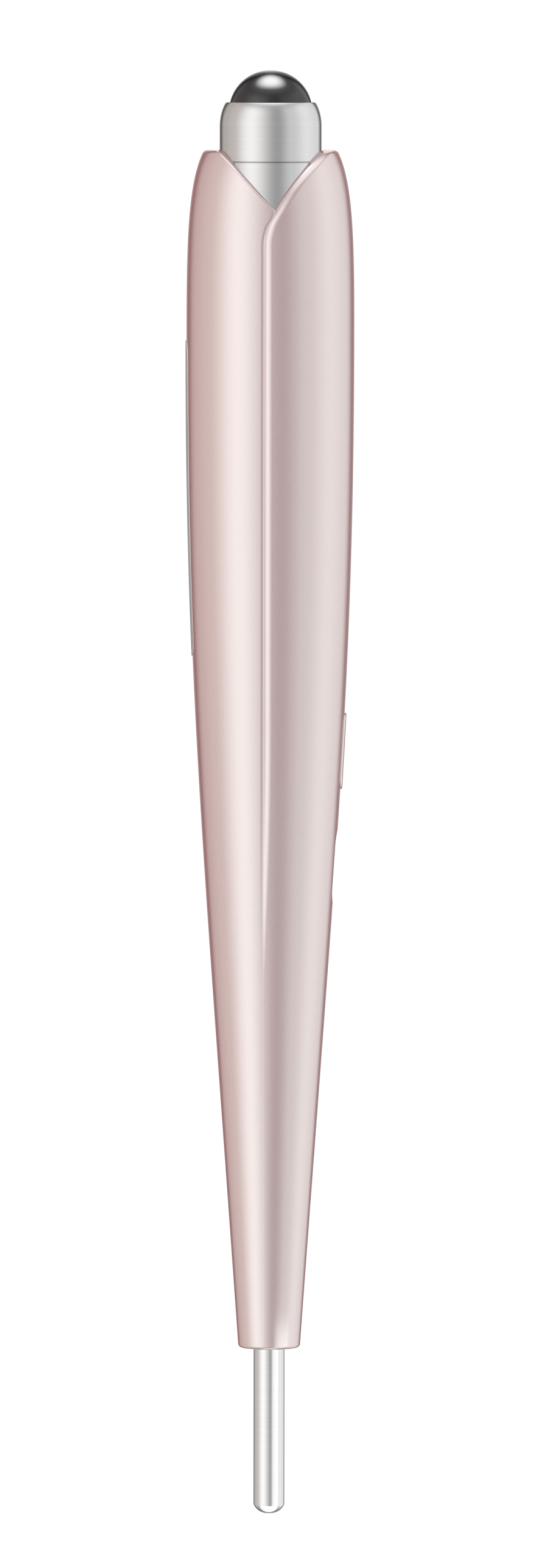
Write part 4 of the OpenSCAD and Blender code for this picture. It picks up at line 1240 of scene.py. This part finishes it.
class STICK_OT_stage(bpy.types.Operator):
    """Set the floor, the studio light and the camera"""

    bl_idname = "stick.stage"
    bl_label = "Stage"

    def execute(self, context):
        s = context.scene.stick_stage
        self.light(context, s)
        self.cards()
        self.floor(s)
        self.camera(context, s)
        context.scene.view_settings.view_transform = "Standard"
        return {"FINISHED"}

    def light(self, context, s):
        """Sky that runs round the stick and is calm at its two ends, a little brighter past the ball."""
        world = bpy.data.worlds.new("Studio")
        context.scene.world = world
        tree = clear_nodes(world)
        x, y, z = put(tree, "ShaderNodeSeparateXYZ", {0: put(tree, "ShaderNodeTexCoord").outputs["Generated"]}).outputs
        angle = maths(tree, "ARCTAN2", maths(tree, "MULTIPLY", y, -1), z)
        stops = []
        for degrees, value, *warmth in SKY:
            warm = sum(warmth)
            stops.append((degrees / 360 + 0.5, (value * (1 + warm), value, value * (1 - warm / 2))))
        side = color_ramp(tree, maths(tree, "MULTIPLY_ADD", angle, 0.5 / math.pi, 0.5), stops, "EASE")
        low_end, high_end = (mapped(tree, x, -0.5, 0.5, *levels) for levels in (LOW_ENDS, HIGH_ENDS))
        end = mapped(tree, z, -0.9, -0.1, low_end, high_end)
        calm = mapped(tree, maths(tree, "ABSOLUTE", x), 0.5, 0.88, 0, 1)
        ends = maths(tree, "ADD", end, mapped(tree, x, 0.7, 0.97, 0, END_LAMP))
        sky = put(tree, "ShaderNodeMix", {"Factor": calm, "A": side, "B": ends}, data_type="RGBA")
        lit = put(tree, "ShaderNodeBackground", {"Color": sky.outputs["Result"], "Strength": s.light})
        plain = put(tree, "ShaderNodeBackground", {"Color": (1, 1, 1, 1)})
        seen = put(tree, "ShaderNodeLightPath").outputs["Is Camera Ray"]
        mix = put(tree, "ShaderNodeMixShader", {"Fac": seen, 1: lit.outputs[0], 2: plain.outputs[0]})
        put(tree, "ShaderNodeOutputWorld", {"Surface": mix.outputs[0]})

    def card(self, name, centre, facing, reach, strength, fade, across=(1, 1), past=1):
        """A soft lamp that only gloss sees: a card that faces the stick and fades between two shares of its
        reach. Far off, its light keeps only the share past of its strength."""
        card = flat_square(name, [(0, -1, -1), (0, 1, -1), (0, 1, 1), (0, -1, 1)])
        finish, tree = new_finish(name)
        place = put(tree, "ShaderNodeTexCoord").outputs["Object"]
        kept = put(tree, "ShaderNodeVectorMath", {0: place, 1: (0, *across)}, operation="MULTIPLY")
        away = put(tree, "ShaderNodeVectorMath", {0: kept.outputs[0]}, operation="LENGTH")
        length = put(tree, "ShaderNodeLightPath").outputs["Ray Length"]
        level = mapped(tree, away.outputs["Value"], *fade, strength, 0)
        level = maths(tree, "MULTIPLY", level, mapped(tree, length, CARD_NEAR, CARD_FAR, 1, past))
        show_sum(tree, put(tree, "ShaderNodeEmission", {"Strength": level}), put(tree, "ShaderNodeBsdfTransparent"))
        card.data.materials.append(finish)
        facing = Vector(facing)
        up = Vector((0, 0, 1)) if abs(facing.x) > 0.5 else Vector((1, 0, 0))
        turn = Matrix((facing, up.cross(facing), up)).transposed().to_4x4()
        card.matrix_world = Matrix.Translation(centre) @ turn @ Matrix.Diagonal((1, *reach, 1))
        card.visible_camera = card.visible_diffuse = card.visible_shadow = card.visible_transmission = False

    def cards(self):
        """Soft lamps off the ball, off the rod's tip and beside the rod."""
        side = math.radians(44)
        beside = Vector((0, -math.sin(side), math.cos(side)))
        ball_spot = Vector((BALL_HIGH.x + 3.1 * MM, 0, AXIS_Z + 3.5 * MM))
        tip_spot = Vector((ROD_LOW.x - 6 * MM, 0, AXIS_Z + 4 * MM))
        rod_spot = Vector((-93 * MM, 0, AXIS_Z)) + 22 * MM * beside
        self.card("ball_lamp", ball_spot, (-1, 0, 0), (5.5 * MM, 4.2 * MM), 13.5, (0.16, 1), past=0.12)
        self.card("tip_lamp", tip_spot, (1, 0, 0), (10.5 * MM, 6.2 * MM), 1.7, (0.75, 1))
        self.card("rod_lamp", rod_spot, -beside, (14 * MM, 19 * MM), 0.65, (0.45, 1), (1, 0))

    def floor(self, s):
        half = s.floor_size / 2
        floor = flat_square("floor", [(-half, -half, 0), (half, -half, 0), (half, half, 0), (-half, half, 0)])
        finish, tree = new_finish("Pale Floor")
        matt = put(tree, "ShaderNodeBsdfDiffuse", {"Color": FLOOR_COLOR})
        show_sum(tree, matt, put(tree, "ShaderNodeEmission", {"Color": (1, 1, 1, 1), "Strength": FLOOR_GLOW}))
        floor.data.materials.append(finish)
        floor.visible_glossy = False

    def camera(self, context, s):
        lens = bpy.data.cameras.new("camera")
        camera = bpy.data.objects.new("camera", lens)
        context.scene.collection.objects.link(camera)
        lens.sensor_fit = "AUTO"
        lens.sensor_width = 36
        lens.lens = lens.sensor_width / 2 / math.tan(s.field / 2)
        lens.clip_start = 0.05
        lens.clip_end = 20
        back = Vector((math.sin(s.pitch), 0, math.cos(s.pitch)))
        straight = Vector((0, -1, 0))
        right = straight * math.cos(s.roll) + back.cross(straight) * math.sin(s.roll)
        turn = Matrix((right, back.cross(right), back)).transposed().to_4x4()
        eye = Vector((s.aim, s.aside, AXIS_Z)) + s.distance * back
        camera.matrix_world = Matrix.Translation(eye) @ turn
        context.scene.camera = camera


class STICK_PT_panel(bpy.types.Panel):
    """Sizes, finishes and makers of the massage stick"""

    bl_idname = "STICK_PT_panel"
    bl_label = "Massage Stick"
    bl_space_type = "VIEW_3D"
    bl_region_type = "UI"
    bl_category = "Massage Stick"

    def draw(self, context):
        for setting, (label, _) in SETTINGS.items():
            group = getattr(context.scene, setting)
            box = self.layout.box()
            box.label(text=label)
            for name in group.bl_rna.properties.keys():
                if name not in ("rna_type", "name"):
                    box.prop(group, name)
        for operator in OPERATORS:
            self.layout.operator(operator.bl_idname)


SETTINGS = {
    "stick_casing": ("Casing", CasingSettings),
    "stick_controls": ("Controls", ControlSettings),
    "stick_turned": ("Turned Parts", TurnedSettings),
    "stick_finish": ("Finishes", FinishSettings),
    "stick_stage": ("Stage", StageSettings),
}
OPERATORS = (
    STICK_OT_casing,
    STICK_OT_button,
    STICK_OT_strip,
    STICK_OT_head,
    STICK_OT_probe,
    STICK_OT_insides,
    STICK_OT_stage,
)


def register():
    for name, (_, group) in SETTINGS.items():
        bpy.utils.register_class(group)
        setattr(bpy.types.Scene, name, PointerProperty(type=group))
    for cls in (*OPERATORS, STICK_PT_panel):
        bpy.utils.register_class(cls)


def unregister():
    for cls in (STICK_PT_panel, *reversed(OPERATORS)):
        bpy.utils.unregister_class(cls)
    for name, (_, group) in SETTINGS.items():
        delattr(bpy.types.Scene, name)
        bpy.utils.unregister_class(group)


def main():
    """Registers the add-on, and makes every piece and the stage."""
    register()
    for call in (
        bpy.ops.stick.casing,
        bpy.ops.stick.button,
        bpy.ops.stick.strip,
        bpy.ops.stick.head,
        bpy.ops.stick.probe,
        bpy.ops.stick.insides,
        bpy.ops.stick.stage,
    ):
        call()


if __name__ == "__main__":
    main()
